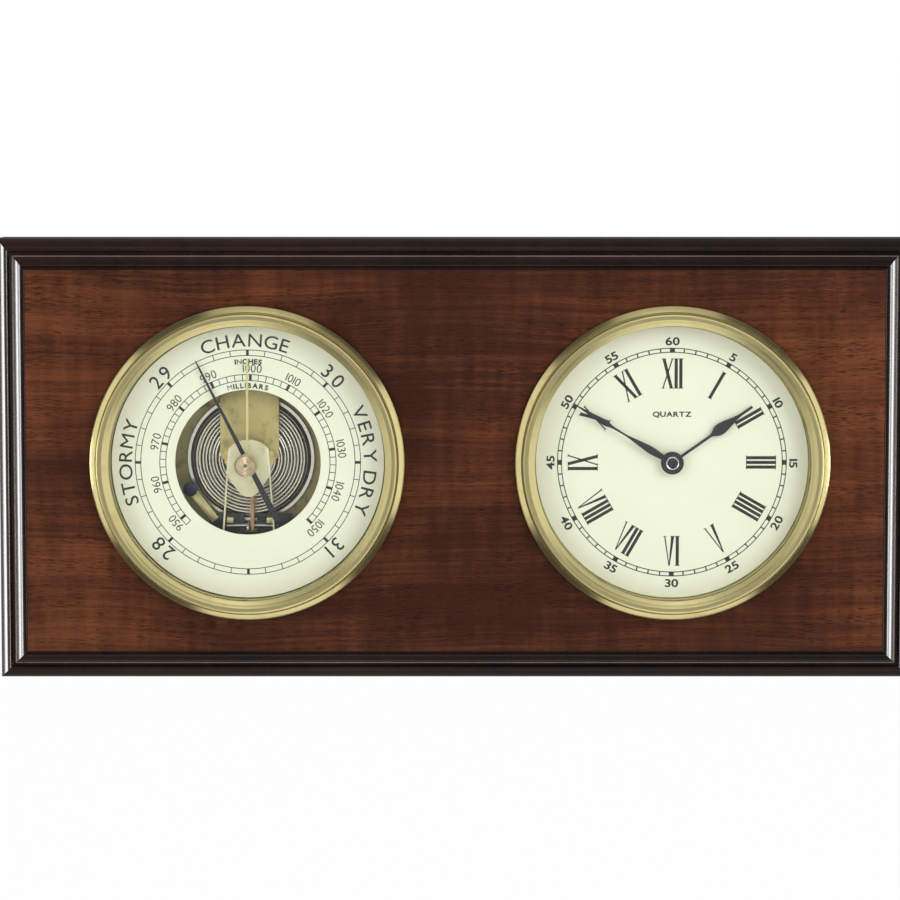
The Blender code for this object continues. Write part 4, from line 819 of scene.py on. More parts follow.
def settle(bm: bmesh.types.BMesh, name: str, sharp: float) -> Mesh:
    """A mesh from a bmesh, facing out, smooth but for its sharp edges.

    Args:
        bm: The bmesh, which is freed.
        name: Name of the mesh.
        sharp: Angle in degrees from which an edge is sharp.

    Returns:
        The mesh.
    """
    bmesh.ops.recalc_face_normals(bm, faces=bm.faces)
    limit = math.radians(sharp)
    for edge in bm.edges:
        edge.smooth = len(edge.link_faces) == 2 and edge.calc_face_angle(0.0) < limit
    for face in bm.faces:
        face.smooth = True
    mesh = bpy.data.meshes.new(name)
    bm.to_mesh(mesh)
    bm.free()
    return mesh


def joined(meshes: Sequence[Mesh], name: str) -> Mesh:
    """One mesh that holds several.

    Args:
        meshes: The meshes, which are removed.
        name: Name of the new mesh.

    Returns:
        The new mesh.
    """
    bm = bmesh.new()
    for mesh in meshes:
        bm.from_mesh(mesh)
        bpy.data.meshes.remove(mesh)
    merged = bpy.data.meshes.new(name)
    bm.to_mesh(merged)
    bm.free()
    return merged


def carved(mesh: Mesh, cutters: Sequence[Mesh], sharp: float = 32.0) -> Mesh:
    """A mesh with other meshes cut out of it.

    Args:
        mesh: The piece.
        cutters: Closed meshes that reach through its surface.
        sharp: Angle in degrees from which an edge is sharp.

    Returns:
        The cut mesh; the meshes given are removed.
    """
    work = linked("work", mesh)
    tools = []
    for cutter in cutters:
        tool = linked("cutter", cutter)
        modifier = work.modifiers.new("cut", "BOOLEAN")
        modifier.operation = "DIFFERENCE"
        modifier.object = tool
        tools.append(tool)
    graph = bpy.context.evaluated_depsgraph_get()
    made = bpy.data.meshes.new_from_object(work.evaluated_get(graph))
    bm = bmesh.new()
    bm.from_mesh(made)
    bpy.data.meshes.remove(made)
    for tool in [work, *tools]:
        data = tool.data
        bpy.data.objects.remove(tool)
        bpy.data.meshes.remove(data)
    bmesh.ops.remove_doubles(bm, verts=bm.verts, dist=SAME_PLACE)
    return settle(bm, "carved", sharp)


def dress(node: str, finish: Finish) -> None:
    """Give a carried-over CAD node its finish."""
    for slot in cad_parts[node].material_slots:
        slot.material = finish.build()


def srgb(red: float, green: float, blue: float) -> Colour:
    """A linear colour from a screen colour.

    Args:
        red: Red, from 0 to 255.
        green: Green, from 0 to 255.
        blue: Blue, from 0 to 255.

    Returns:
        The colour, each part from 0 to 1.
    """
    linear = []
    for value in (red / 255, green / 255, blue / 255):
        linear.append(value / 12.92 if value <= 0.04045 else ((value + 0.055) / 1.055) ** 2.4)
    return (linear[0], linear[1], linear[2])


@dataclass(frozen=True)
class Glyph:
    """One letter as flat faces: its feet on y = 0, its capitals 1 high, its left side on x = 0."""

    points: Sequence[Point]
    faces: Sequence[Sequence[int]]
    width: float


@dataclass(frozen=True)
class Lettering:
    """One size and weight of printed letter."""

    height: float
    weight: float = 0.0
    wide: float = 1.0
    gap: float = 0.0004

    def glyph(self, character: str) -> Glyph:
        """A letter's faces, drawn with the font that Blender carries.

        Args:
            character: The letter.

        Returns:
            Its glyph, with capitals one unit high.
        """
        height = self.capital_height()
        bm = self.drawn(character)
        left = min(vert.co.x for vert in bm.verts)
        right = max(vert.co.x for vert in bm.verts)
        bm.verts.index_update()
        points = [((vert.co.x - left) / height * self.wide, vert.co.y / height) for vert in bm.verts]
        faces = [[vert.index for vert in face.verts] for face in bm.faces]
        bm.free()
        return Glyph(points, faces, (right - left) / height * self.wide)

    def drawn(self, character: str) -> bmesh.types.BMesh:
        """Flat faces of one letter at the font's own size.

        Args:
            character: The letter.

        Returns:
            The faces.
        """
        text = bpy.data.curves.new("letter", "FONT")
        text.body = character
        text.resolution_u = 6
        text.offset = self.weight * {"M": 0.0, "W": 0.25, "N": 0.25}.get(character, 1.0)
        return bm_of(text)

    def capital_height(self) -> float:
        """Height of a capital at the font's own size.

        Returns:
            The height of the letter H.
        """
        bm = self.drawn("H")
        top = max(vert.co.y for vert in bm.verts)
        bm.free()
        return top


@dataclass
class Print:
    """The ink on one dial: rings, marks, letters and numerals in one thin closed layer."""

    insert: Insert
    level: float
    bm: bmesh.types.BMesh = field(default_factory=bmesh.new)

    def sheet(self, points: Sequence[Point], faces: Sequence[Sequence[int]]) -> None:
        """Ink over flat faces, closed at its back and round its rim.

        Args:
            points: Drawn points.
            faces: Indices of the points of each face.
        """
        back = [self.bm.verts.new(self.insert.place(x, y, self.level - PRINT_LIFT)) for x, y in points]
        front = [self.bm.verts.new(self.insert.place(x, y, self.level + PRINT_THICK)) for x, y in points]
        rim: dict[tuple[int, int], None] = {}
        for face in faces:
            self.bm.faces.new([front[i] for i in face])
            self.bm.faces.new([back[i] for i in reversed(face)])
            for i, j in zip(face, [*face[1:], face[0]]):
                if (j, i) in rim:
                    del rim[(j, i)]
                else:
                    rim[(i, j)] = None
        for i, j in rim:
            self.bm.faces.new([front[j], front[i], back[i], back[j]])

    def slab(self, outline: Sequence[Point]) -> None:
        """Ink over one outline."""
        self.sheet(outline, [list(range(len(outline)))])

    def band(self, inner: float, outer: float, start: float = 0.0, end: float = 360.0) -> None:
        """A ring of ink, or a part of one.

        Args:
            inner: Inner radius.
            outer: Outer radius.
            start: Degrees clockwise from the top where it starts.
            end: Degrees where it ends.
        """
        count = max(4, round((end - start) / 1.5))
        points: Profile = []
        for index in range(count + 1):
            angle = math.radians(start + (end - start) * index / count)
            points += [(radius * math.sin(angle), radius * math.cos(angle)) for radius in (inner, outer)]
        whole = abs(end - start) >= 360.0 - 1e-6
        if whole:
            points = points[:-2]
        total = len(points)
        faces = [[2 * i, 2 * i + 1, (2 * i + 3) % total, (2 * i + 2) % total] for i in range(count)]
        self.sheet(points, faces)

    def mark(self, degrees: float, inner: float, outer: float, width: float, waist: float = 1.0) -> None:
        """A radial mark.

        Args:
            degrees: Its angle, clockwise from the top.
            inner: Radius of its inner end.
            outer: Radius of its outer end.
            width: Its width at the ends.
            waist: Its width half way along, as a share of that at the ends.
        """
        half = width / 2
        middle = (inner + outer) / 2
        right = [(half, outer), (half * waist, middle), (half, inner)]
        self.slab(swung(right + [(-x, y) for x, y in reversed(right)], degrees))

    def word(
        self,
        text: str,
        style: Lettering,
        radius: float,
        middle: float,
        spread: float = 0.0,
        reading: Reading = Reading.INWARD,
    ) -> None:
        """Letters set round a circle.

        Args:
            text: The word or number.
            style: Size and weight of its letters.
            radius: Radius of the letters' middle.
            middle: Degrees of the word's middle, clockwise from the top.
            spread: Degrees from the first letter's middle to the last one's, or 0 to use the style's gap.
            reading: Side on which its feet stand.
        """
        glyphs = [None if letter == " " else style.glyph(letter) for letter in text]
        widths = [style.height * (0.3 if glyph is None else glyph.width) for glyph in glyphs]
        steps = [(first + second) / 2 for first, second in zip(widths, widths[1:])]
        gap = style.gap
        if spread:
            gap = (math.radians(spread) * radius - sum(steps)) / len(steps)
        along = -(sum(steps) + gap * len(steps)) / 2
        turn = reading.value
        for index, glyph in enumerate(glyphs):
            if glyph is not None:
                centre = middle + turn * math.degrees(along / radius)
                points = []
                for x, y in glyph.points:
                    across = (x - glyph.width / 2) * style.height
                    up = (y - 0.5) * style.height
                    points.append((turn * across, radius + turn * up))
                self.sheet(swung(points, centre), glyph.faces)
            if index < len(steps):
                along += steps[index] + gap

    def line_word(self, text: str, style: Lettering, middle: Point, span: float) -> None:
        """Letters along a level line.

        Args:
            text: The word.
            style: Size and weight of its letters.
            middle: Middle of the word.
            span: Its whole width.
        """
        glyphs = [style.glyph(letter) for letter in text]
        widths = [glyph.width * style.height for glyph in glyphs]
        gap = (span - sum(widths)) / (len(widths) - 1)
        left = middle[0] - span / 2
        foot = middle[1] - style.height / 2
        for glyph, width in zip(glyphs, widths):
            points = [(left + x * style.height, foot + y * style.height) for x, y in glyph.points]
            self.sheet(points, glyph.faces)
            left += width + gap

    def mesh(self) -> Mesh:
        """The whole layer as one mesh."""
        return settle(self.bm, "print", 20.0)


@dataclass(frozen=True)
class Roman:
    """Roman numerals: thick bars and thin strokes between two fine lines."""

    height: float = 0.0100
    bar: float = 0.00106
    thin: float = 0.00044
    line: float = 0.00020
    pitch: float = 0.00156
    ten_width: float = 0.0036
    five_width: float = 0.0034
    serif: float = 0.00028

    def strokes(self, numeral: str) -> list[Profile]:
        """Outlines of one numeral's strokes and serifs, drawn upright about its middle.

        Args:
            numeral: Letters I, V and X.

        Returns:
            One outline for each stroke and serif.
        """
        widths = {"I": self.bar, "V": self.five_width, "X": self.ten_width}
        space = self.pitch - self.bar
        total = sum(widths[letter] for letter in numeral) + space * (len(numeral) - 1)
        left = -total / 2
        top = self.height / 2
        head, foot = top - self.line / 2, -top + self.line / 2
        drawn: list[Profile] = []
        for letter in numeral:
            right = left + widths[letter]
            if letter == "I":
                drawn.append(rectangle(left, -top, right, top))
                drawn += [self.rule(left, right, level) for level in (head, foot)]
            elif letter == "V":
                drawn += self.five(left, right, top)
                drawn += [self.rule(left, left + self.thin, head), self.rule(right - self.bar, right, head)]
            else:
                drawn.append(self.leaning(right - self.thin, left, top, self.thin))
                drawn.append(self.leaning(left, right - self.bar, top, self.bar))
                drawn += [self.rule(left, left + self.bar, head), self.rule(right - self.thin, right, head)]
                drawn += [self.rule(left, left + self.thin, foot), self.rule(right - self.bar, right, foot)]
            left = right + space
        return drawn

    def five(self, left: float, right: float, top: float) -> list[Profile]:
        """Thin left and thick right stroke of a V, which meet in a point at its foot.

        Args:
            left: Left side of the letter.
            right: Right side of the letter.
            top: Height of its top over its middle.

        Returns:
            The two strokes.
        """
        middle = (left + right) / 2
        thin = [(middle - 0.0002, -top), (middle + 0.0001, -top), (left + self.thin, top), (left, top)]
        thick = [(middle - 0.00012, -top), (middle + 0.0002, -top), (right, top), (right - self.bar, top)]
        return [thin, thick]

    @staticmethod
    def leaning(upper: float, lower: float, top: float, width: float) -> Profile:
        """A leaning stroke, from the left sides of its top and its foot."""
        return [(lower, -top), (lower + width, -top), (upper + width, top), (upper, top)]

    def rule(self, left: float, right: float, level: float) -> Profile:
        """The serif across the end of a stroke."""
        left, right, half = left - self.serif, right + self.serif, self.line / 2
        return rectangle(left, level - half, right, level + half)


PANEL_WOOD = Wood(
    "panel_mahogany",
    gloss=0.42,
    light=srgb(121, 68, 40),
    dark=srgb(60, 30, 19),
    pore=srgb(36, 18, 13),
    pores=0.7,
    heart=0.14,
    specular=0.10,
)
CORE_WOOD = Wood(
    "core_mahogany", gloss=0.62, light=srgb(150, 96, 66), dark=srgb(104, 62, 42), pore=srgb(60, 34, 24)
)
FINE_RELIEF = 0.000004
BRASS = Brushed(
    "cut_brass", gloss=0.42, metal=srgb(228, 216, 160), tarnish=srgb(176, 156, 96), relief=FINE_RELIEF
)
STEEL = Brushed(
    "drawn_steel", gloss=0.3, metal=srgb(205, 206, 208), tarnish=srgb(130, 130, 132), relief=FINE_RELIEF
)
DIAL_INK = Skin(
    "dial_ink", gloss=0.5, base=srgb(26, 25, 27), drift=srgb(38, 37, 38), grain=3000.0, relief=0.000003
)
DIAL_CREAM = Skin(
    "dial_cream",
    gloss=0.55,
    base=srgb(245, 246, 224),
    drift=srgb(239, 239, 213),
    grain=2600.0,
    relief=FINE_RELIEF,
)
BLACK_PLATE = Skin(
    "black_japan", gloss=0.34, base=srgb(32, 34, 33), drift=srgb(22, 23, 23), grain=2200.0, relief=0.000006
)
HAND_BLACK = Skin(
    "hand_black",
    gloss=0.36,
    base=srgb(30, 31, 36),
    drift=srgb(20, 21, 25),
    grain=2600.0,
    relief=FINE_RELIEF,
)
RUBBER = Skin(
    "rubber", gloss=0.8, base=srgb(36, 36, 37), drift=srgb(28, 28, 28), grain=1500.0, relief=0.00004
)
CASE_PLASTIC = Skin(
    "movement_plastic",
    gloss=0.45,
    base=srgb(38, 38, 40),
    drift=srgb(30, 30, 31),
    grain=2400.0,
    relief=0.00001,
)


@dataclass
class Plaque(Maker):
    """The board: core, veneer and four mitred mouldings, with the keyhole plate in its back."""

    width: float = 0.306
    height: float = 0.148
    thick: float = 0.026
    gap: float = 0.0003
    lipping: float = 0.0103
    lipping_back: float = 0.0106
    rebate: float = 0.00095
    hole: float = 0.0488
    widened: float = 1.03
    arris: tuple[float, float, float] = (0.00565, 0.0061, -0.0037)
    chamfer: float = 0.0008
    screw_radius: float = 0.0032
    screw_core: float = 0.0015
    screw_length: float = 0.0130

    def section(self) -> Profile:
        """Section of a moulding, drawn in millimetres and set in metres.

        Returns:
            (inset from the edge, level) points, from the back edge round to the inner face.
        """
        back, inner = -self.thick, self.lipping
        swell = [(0.0, -10.5), (0.1, -9.6), (0.3, -8.7), (0.6, -7.85), (0.95, -7.05), (1.3, -6.4)]
        swell += [(1.7, -5.78), (2.1, -5.22), (2.5, -4.7), (2.8, -4.38), (3.05, -4.2), (3.25, -4.14)]
        swell += [(3.45, -4.2), (3.56, -4.2), (3.7, -4.02), (3.84, -3.86), (3.98, -3.82), (4.12, -3.92)]
        swell += [(4.26, -4.16), (4.4, -4.6)]
        quirk = [(4.5, -5.0), (5.42, -5.0), (5.5, -4.6), (5.52, -3.62), (5.58, -3.5), (5.86, -3.42)]
        slope = [(5.92, -3.36), (6.4, -3.0), (6.9, -2.58), (7.2, -2.26), (7.5, -1.87), (7.8, -1.44)]
        slope += [(8.08, -1.03), (8.3, -0.71), (8.45, -0.52), (8.6, -0.42), (8.75, -0.4), (8.9, -0.52)]
        slope += [(9.02, -0.8), (9.12, -0.94), (9.22, -0.95), (9.3, -0.88), (9.45, -0.65), (9.6, -0.42)]
        slope += [(9.7, -0.33), (9.84, -0.3)]
        drawn = smooth_line(swell, 3) + quirk + smooth_line(slope, 3) + [(9.96, -0.3)]
        points = [(0.0, back + self.chamfer)]
        points += [(inset * self.widened * 0.001, level * 0.001) for inset, level in drawn]
        points += [(inner, -self.gap), (inner, -self.rebate), (self.lipping_back, -self.rebate)]
        points += [(self.lipping_back, back + 0.0002), (self.lipping_back - 0.0002, back)]
        return points + [(self.chamfer, back)]

    def moulding(self, length: float, reach: float, degrees: float) -> Mesh:
        """One mitred moulding.

        Args:
            length: Its outer length.
            reach: Distance of its outer edge from the middle of the board.
            degrees: Its turn, clockwise from the top.

        Returns:
            The mesh.
        """
        section = self.section()
        bm = bmesh.new()
        ends = []
        for side in SIDES:
            loop = []
            for inset, level in section:
                along = side * (length / 2 - inset - self.gap * 0.15)
                x, y = swung([(along, reach - inset)], degrees)[0]
                loop.append(bm.verts.new(self.insert.place(x, y, level)))
            ends.append(loop)
            bm.faces.new(loop)
        for index in range(len(section)):
            following = (index + 1) % len(section)
            bm.faces.new((ends[0][index], ends[0][following], ends[1][following], ends[1][index]))
        return settle(bm, "moulding", 24.0)

    def rub(self, mesh: Mesh, reach: float, degrees: float, arris: Wood) -> None:
        """Give the arris of a moulding a lighter finish of its own: a painted highlight along the edge.

        Args:
            mesh: The moulding, already dressed.
            reach: Distance of its outer edge from the middle of the board.
            degrees: Its turn, clockwise from the top.
            arris: Finish of the arris, lighter than the moulding as a painted highlight.
        """
        mesh.materials.append(arris.build())
        across, up = math.sin(math.radians(degrees)), math.cos(math.radians(degrees))
        for face in mesh.polygons:
            x, y, z = face.center
            inset = reach - (x - self.insert.x) * across - (z - self.insert.z) * up
            level = self.insert.panel_y - y
            # Faces on the arris take the painted highlight finish.
            if self.arris[0] < inset < self.arris[1] and level > self.arris[2]:
                face.material_index = 1

    def veneer(self) -> None:
        """The mahogany face, let into the mouldings' rebate, with a hole for each instrument."""
        across, up = (size / 2 - self.lipping - 0.0001 for size in (self.width, self.height))
        outlines = [rectangle(-across, -up, across, up)]
        for node in ("baro_bezel", "clock_bezel"):
            insert = Insert.around(node)
            outlines.append(circle(insert.x, insert.z, self.hole, ROUND_STEPS))
        low, _ = self.insert.level_of("face_veneer")
        mesh = self.plate(outlines, low, 0.0, 0.00008)
        self.piece("panel_veneer", mesh, "plaque", PANEL_WOOD, ["face_veneer"])

    def screw(self, up: float) -> Mesh:
        """A countersunk screw with a cross recess, flush in the keyhole plate.

        Args:
            up: Height of the screw over the middle of the board.

        Returns:
            The mesh.
        """
        maker = Maker(self.insert.moved(0.0, up), PIN_STEPS)
        back = -self.thick + 0.0001
        radius, core, tip = self.screw_radius, self.screw_core, back + self.screw_length
        profile = [(0.0, back), (radius - 0.0001, back), (radius, back + 0.0001), (core, back + core)]
        profile += [(core, back + 0.0105), (0.0004, back + 0.0128), (0.0, tip)]
        bar = rectangle(-0.0018, -0.00026, 0.0018, 0.00026)
        cutters = [maker.plate([swung(bar, turn)], back - 0.001, back + 0.0008) for turn in (18.0, 108.0)]
        return carved(maker.lathe(profile), cutters)

    def build(self) -> None:
        """Dress the board, and set its mouldings and screws."""
        self.veneer()
        dress("board_core", CORE_WOOD)
        zinc = {"metal": srgb(186, 188, 190), "tarnish": srgb(120, 118, 112), "wear": 0.5}
        dress("hanger_plate", Brushed("zinced_steel", gloss=0.38, **zinc))
        look = {"light": srgb(46, 27, 20), "dark": srgb(22, 13, 10), "pore": srgb(10, 6, 6), "pores": 0.4}
        sheen = {"gloss": 0.26, "coat": 0.1, "coat_gloss": 0.1, "specular": 0.14}
        level = LippingWood("lipping_walnut_level", **sheen, **look)
        look |= {"gloss": 0.24, "coat": 1.0, "coat_gloss": 0.08, "specular": 0.26}
        upright = LippingWood("lipping_walnut_upright", upright=True, **look)
        # The arris finish is a painted highlight: a lighter strip standing in for the side light that the
        # edge catches.
        painted_highlight = {"light": srgb(104, 90, 82), "dark": srgb(78, 64, 57), "pore": srgb(30, 20, 17)}
        painted_highlight |= {"pores": 0.3, "gloss": 0.3, "coat": 0.2}
        level_highlight = LippingWood("rubbed_arris_level", **painted_highlight)
        upright_highlight = LippingWood("rubbed_arris_upright", upright=True, **painted_highlight)
        sides = (("top", self.width, self.height, 0.0), ("right", self.height, self.width, 90.0))
        sides += (("bottom", self.width, self.height, 180.0), ("left", self.height, self.width, 270.0))
        for side, length, across, degrees in sides:
            finish, arris = (level, level_highlight) if side in ("top", "bottom") else (upright, upright_highlight)
            mesh = self.moulding(length, across / 2, degrees)
            self.piece("moulding_" + side, mesh, "plaque", finish, ["lipping_" + side])
            self.rub(mesh, across / 2, degrees, arris)
        for name in ("lower", "upper"):
            low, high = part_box("hanger_screw_" + name)
            mesh = self.screw((low.z + high.z) / 2 - self.insert.z)
            self.piece("countersunk_screw_" + name, mesh, "plaque", STEEL, ["hanger_screw_" + name])


@dataclass(frozen=True)
class LippingWood(Wood):
    """Dark glossy wood of the mouldings, its grain along each one."""

    upright: bool = False
    relief: float = 0.000006

    def coordinates(self, nodes: NodeTree) -> Socket:
        """Object coordinates, with Z read as X where the moulding stands upright.

        Args:
            nodes: The material's nodes.

        Returns:
            The coordinates.
        """
        place = super().coordinates(nodes)
        if not self.upright:
            return place
        x, y, z = nodes.add("SeparateXYZ", None, i0=place).outputs
        return nodes.add("CombineXYZ", None, X=z, Y=y, Z=x).outputs[0]


@dataclass
class Bezel(Maker):
    """Spun brass ring: flange, step, rolled band and the flank that falls to the glass."""

    steps: int = FINE_STEPS
    radius: float = 0.0524
    flange_front: float = 0.0030
    step: float = 0.0500
    band: float = 0.0477
    front: float = 0.0056
    sight: float = 0.0458
    seat: float = 0.0031
    skirt_bore: float = 0.0472
    skirt_radius: float = 0.0482
    skirt_depth: float = 0.0080
    foot: float = 0.0003

    def profile(self) -> Profile:
        """Its section.

        Returns:
            (radius, level) points of a closed line, from the flange's foot up and over to the skirt.
        """
        radius, step, band, sight = self.radius, self.step, self.band, self.sight
        flange, front, seat = self.flange_front, self.front, self.seat
        lip = seat + (front - seat) * 0.3
        groove = flange - 0.0002
        points = [(radius, self.foot), (radius, self.foot + 0.0007)]
        points += smooth_line([(radius - 0.00012, 0.0016), (radius - 0.0005, 0.00198)], 3)
        points += [(step + 0.00075, flange - 0.00022), (step + 0.00045, flange)]
        points += [(step + 0.00025, groove), (step, groove)]
        roll = [(step, flange + 0.0014), (step - 0.0001, front - 0.0006), (step - 0.0004, front - 0.0002)]
        roll += [(step - 0.0009, front), (band + 0.0003, front - 0.00004)]
        points += smooth_line(roll, 5)
        points += [(band + 0.00012, front - 0.0002), (band, front - 0.00025), (sight + 0.0013, lip + 0.00085)]
        points += [(sight + 0.0011, lip + 0.0007), (sight + 0.0002, lip + 0.00022)]
        points += [(sight + 0.00005, lip + 0.0001), (sight, lip - 0.0001), (sight, seat)]
        points += [(self.skirt_bore, seat)]
        points += [(self.skirt_bore, -self.skirt_depth), (self.skirt_radius, -self.skirt_depth)]
        points += [(self.skirt_radius, self.foot)]
        return points

    def finish(self, name: str, gloss: float) -> Spun:
        """Pale brass of one gloss, spun about this bezel's axis."""
        look = {"marks": 0.22, "wear": 0.25, "relief": FINE_RELIEF}
        return self.spun(name, gloss, srgb(229, 216, 156), srgb(172, 154, 86), **look)

    def build(self, node: str, name: str) -> None:
        """Spin the ring and hang it: polished on its flange, satin inside the step.

        Args:
            node: CAD node of the bezel.
            name: Name of the piece.
        """
        mesh = self.lathe(self.profile(), closed=True, sharp=26.0)
        ring = self.piece(name, mesh, "plaque", self.finish(name + "_polished", 0.16), [node])
        mesh.materials.append(self.finish(name + "_satin", 0.33).build())
        for face in ring.data.polygons:
            middle = face.center
            radius = math.hypot(middle.x - self.insert.x, middle.z - self.insert.z)
            face.material_index = int(radius < self.step + 0.0001)


@dataclass
class Pane(Maker):
    """Round window glass, with its edge just broken."""

    steps: int = FINE_STEPS
    radius: float = 0.0469
    back: float = 0.0012
    front: float = 0.0028
    bore: float = 0.0
    edge: float = 0.0001

    def build(self, node: str, name: str) -> None:
        """Cut the pane and set it.

        Args:
            node: CAD node of the glass.
            name: Name of the piece.
        """
        outer = [(self.radius - self.edge, self.front), (self.radius, self.front - self.edge)]
        outer += [(self.radius, self.back + self.edge), (self.radius - self.edge, self.back)]
        profile = [(self.bore, self.front), *outer, (self.bore, self.back)]
        mesh = self.lathe(profile, closed=bool(self.bore), sharp=20.0)
        self.piece(name, mesh, "plaque", ClearGlass(name + "_clear"), [node])


@dataclass
class BarometerDial(Maker):
    """Cream dial with its sight hole, and two scales printed round it."""

    steps: int = FINE_STEPS
    radius: float = 0.0454
    hole: float = 0.02425
    back: float = -0.0035
    front: float = -0.0030
    inch_inner: float = 0.03571
    inch_outer: float = 0.03755
    bar_inner: float = 0.02735
    bar_outer: float = 0.02936
    hairline: float = 0.00024
    heavy: float = 0.00090
    edge: float = 0.00008
    lowest: int = 948
    highest: int = 1050
    thousand: float = 1.9
    ten_bars: float = 26.4
    weather: tuple[tuple[str, float, float], ...] = (
        ("STORMY", -90.4, 35.8),
        ("CHANGE", -0.7, 36.6),
        ("VERY", 76.4, 21.0),
        ("DRY", 104.85, 15.1),
    )
    inches: tuple[tuple[str, float, float], ...] = (
        ("28", -135.5, 6.4),
        ("29", -45.6, 6.2),
        ("30", 44.5, 6.9),
        ("31", 135.3, 5.4),
    )

    def bar_angle(self, millibars: float) -> float:
        """Degrees clockwise from the top of a pressure."""
        return self.thousand + self.ten_bars * (millibars - 1000) / 10

    def scales(self, ink: Print) -> None:
        """The ring of inches and the boxed ring of millibars.

        Args:
            ink: The dial's ink.
        """
        half = self.hairline / 2
        for radius in (self.inch_inner, self.inch_outer):
            ink.band(radius - half, radius + half)
        for index in range(40):
            width = self.heavy if index % 5 == 0 else self.hairline
            ink.mark(index * 9.0, self.inch_inner, self.inch_outer, width)
        start, end = self.bar_angle(self.lowest), self.bar_angle(self.highest)
        for radius in (self.bar_inner, self.bar_outer):
            ink.band(radius - half, radius + half, start, end)
        for pressure in range(self.lowest, self.highest + 2, 2):
            width = self.heavy if pressure % 10 == 0 else self.hairline
            ink.mark(self.bar_angle(pressure), self.bar_inner - half, self.bar_outer + half, width)

    def words(self, ink: Print) -> None:
        """The weather words, the two units and the figures.

        Args:
            ink: The dial's ink.
        """
        capitals, figures = Lettering(0.0043, 0.004, 1.12), Lettering(0.0046, 0.004, 1.0)
        for word, middle, spread in self.weather:
            ink.word(word, capitals, 0.0408, middle, spread)
        ink.word("INCHES", Lettering(0.00165, 0.045, 1.1), 0.0338, 0.15, 14.0)
        ink.word("MILLIBARS", Lettering(0.00165, 0.04, 1.05), 0.02575, 0.45, 27.5)
        for number, middle, spread in self.inches:
            ink.word(number, figures, 0.0405, middle, spread)
        light = Lettering(0.0027, -0.004, 0.95, 0.00035)
        for pressure in range(950, 1060, 10):
            shift = 0.4 if pressure == 1000 else 0.0
            ink.word(str(pressure), light, 0.0315, self.bar_angle(pressure) + shift)

    def build(self) -> None:
        """Cut the dial, then print it."""
        rim = self.front - self.edge
        profile = [(self.hole + self.edge, self.front), (self.radius - self.edge, self.front)]
        profile += [(self.radius, rim), (self.radius, self.back), (self.hole, self.back), (self.hole, rim)]
        self.piece("weather_dial", self.lathe(profile, closed=True), "plaque", DIAL_CREAM, ["baro_dial"])
        ink = Print(self.insert, self.front)
        self.scales(ink)
        self.words(ink)
        self.piece("weather_dial_print", ink.mesh(), "plaque", DIAL_INK, slot="baro_dial")


@dataclass
class ClockDial(Maker):
    """Cream dial with roman hours, a minute ring and small minute figures."""

    steps: int = FINE_STEPS
    radius: float = 0.0454
    hole: float = 0.0031
    back: float = -0.0035
    front: float = -0.0030
    edge: float = 0.00008
    ring_inner: float = 0.03678
    ring_outer: float = 0.03812
    hairline: float = 0.00030
    tick: float = 0.00042
    numeral_radius: float = 0.0297
    figure_radius: float = 0.0405
    numerals: tuple[str, ...] = ("XII", "I", "II", "III", "IIII", "V", "VI", "VII", "VIII", "IX", "X", "XI")

    def hours(self, ink: Print) -> None:
        """The roman numerals: those from 4 to 8 stand with their feet outward.

        Args:
            ink: The dial's ink.
        """
        roman = Roman()
        for hour, numeral in enumerate(self.numerals):
            turn = Reading.OUTWARD.value if 4 <= hour <= 8 else Reading.INWARD.value
            for stroke in roman.strokes(numeral):
                placed = [(turn * x, self.numeral_radius + turn * y) for x, y in stroke]
                ink.slab(swung(placed, hour * 30.0))

    def minutes(self, ink: Print) -> None:
        """The minute ring and its figures.

        Args:
            ink: The dial's ink.
        """
        half = self.hairline / 2
        for radius in (self.ring_inner, self.ring_outer):
            ink.band(radius - half, radius + half)
        figures = Lettering(0.0026, 0.026, 1.28, 0.0002)
        for minute in range(60):
            degrees = minute * 6.0
            if minute % 5:
                ink.mark(degrees, self.ring_inner, self.ring_outer, self.tick)
                continue
            ink.mark(degrees, self.ring_inner, self.ring_outer, 0.0020, 0.75)
            reading = Reading.OUTWARD if 20 <= minute <= 40 else Reading.INWARD
            ink.word(str(minute or 60), figures, self.figure_radius, degrees, reading=reading)

    def build(self) -> None:
        """Cut the dial, then print it."""
        profile = [(self.hole, self.front), (self.radius - self.edge, self.front)]
        profile += [(self.radius, self.front - self.edge), (self.radius, self.back), (self.hole, self.back)]
        self.piece("hour_dial", self.lathe(profile, closed=True), "plaque", DIAL_CREAM, ["clock_dial"])
        ink = Print(self.insert, self.front)
        self.hours(ink)
        self.minutes(ink)
        ink.line_word("QUARTZ", Lettering(0.00167, 0.032, 1.25), (0.0, 0.01615), 0.01294)
        self.piece("hour_dial_print", ink.mesh(), "plaque", DIAL_INK, slot="clock_dial")


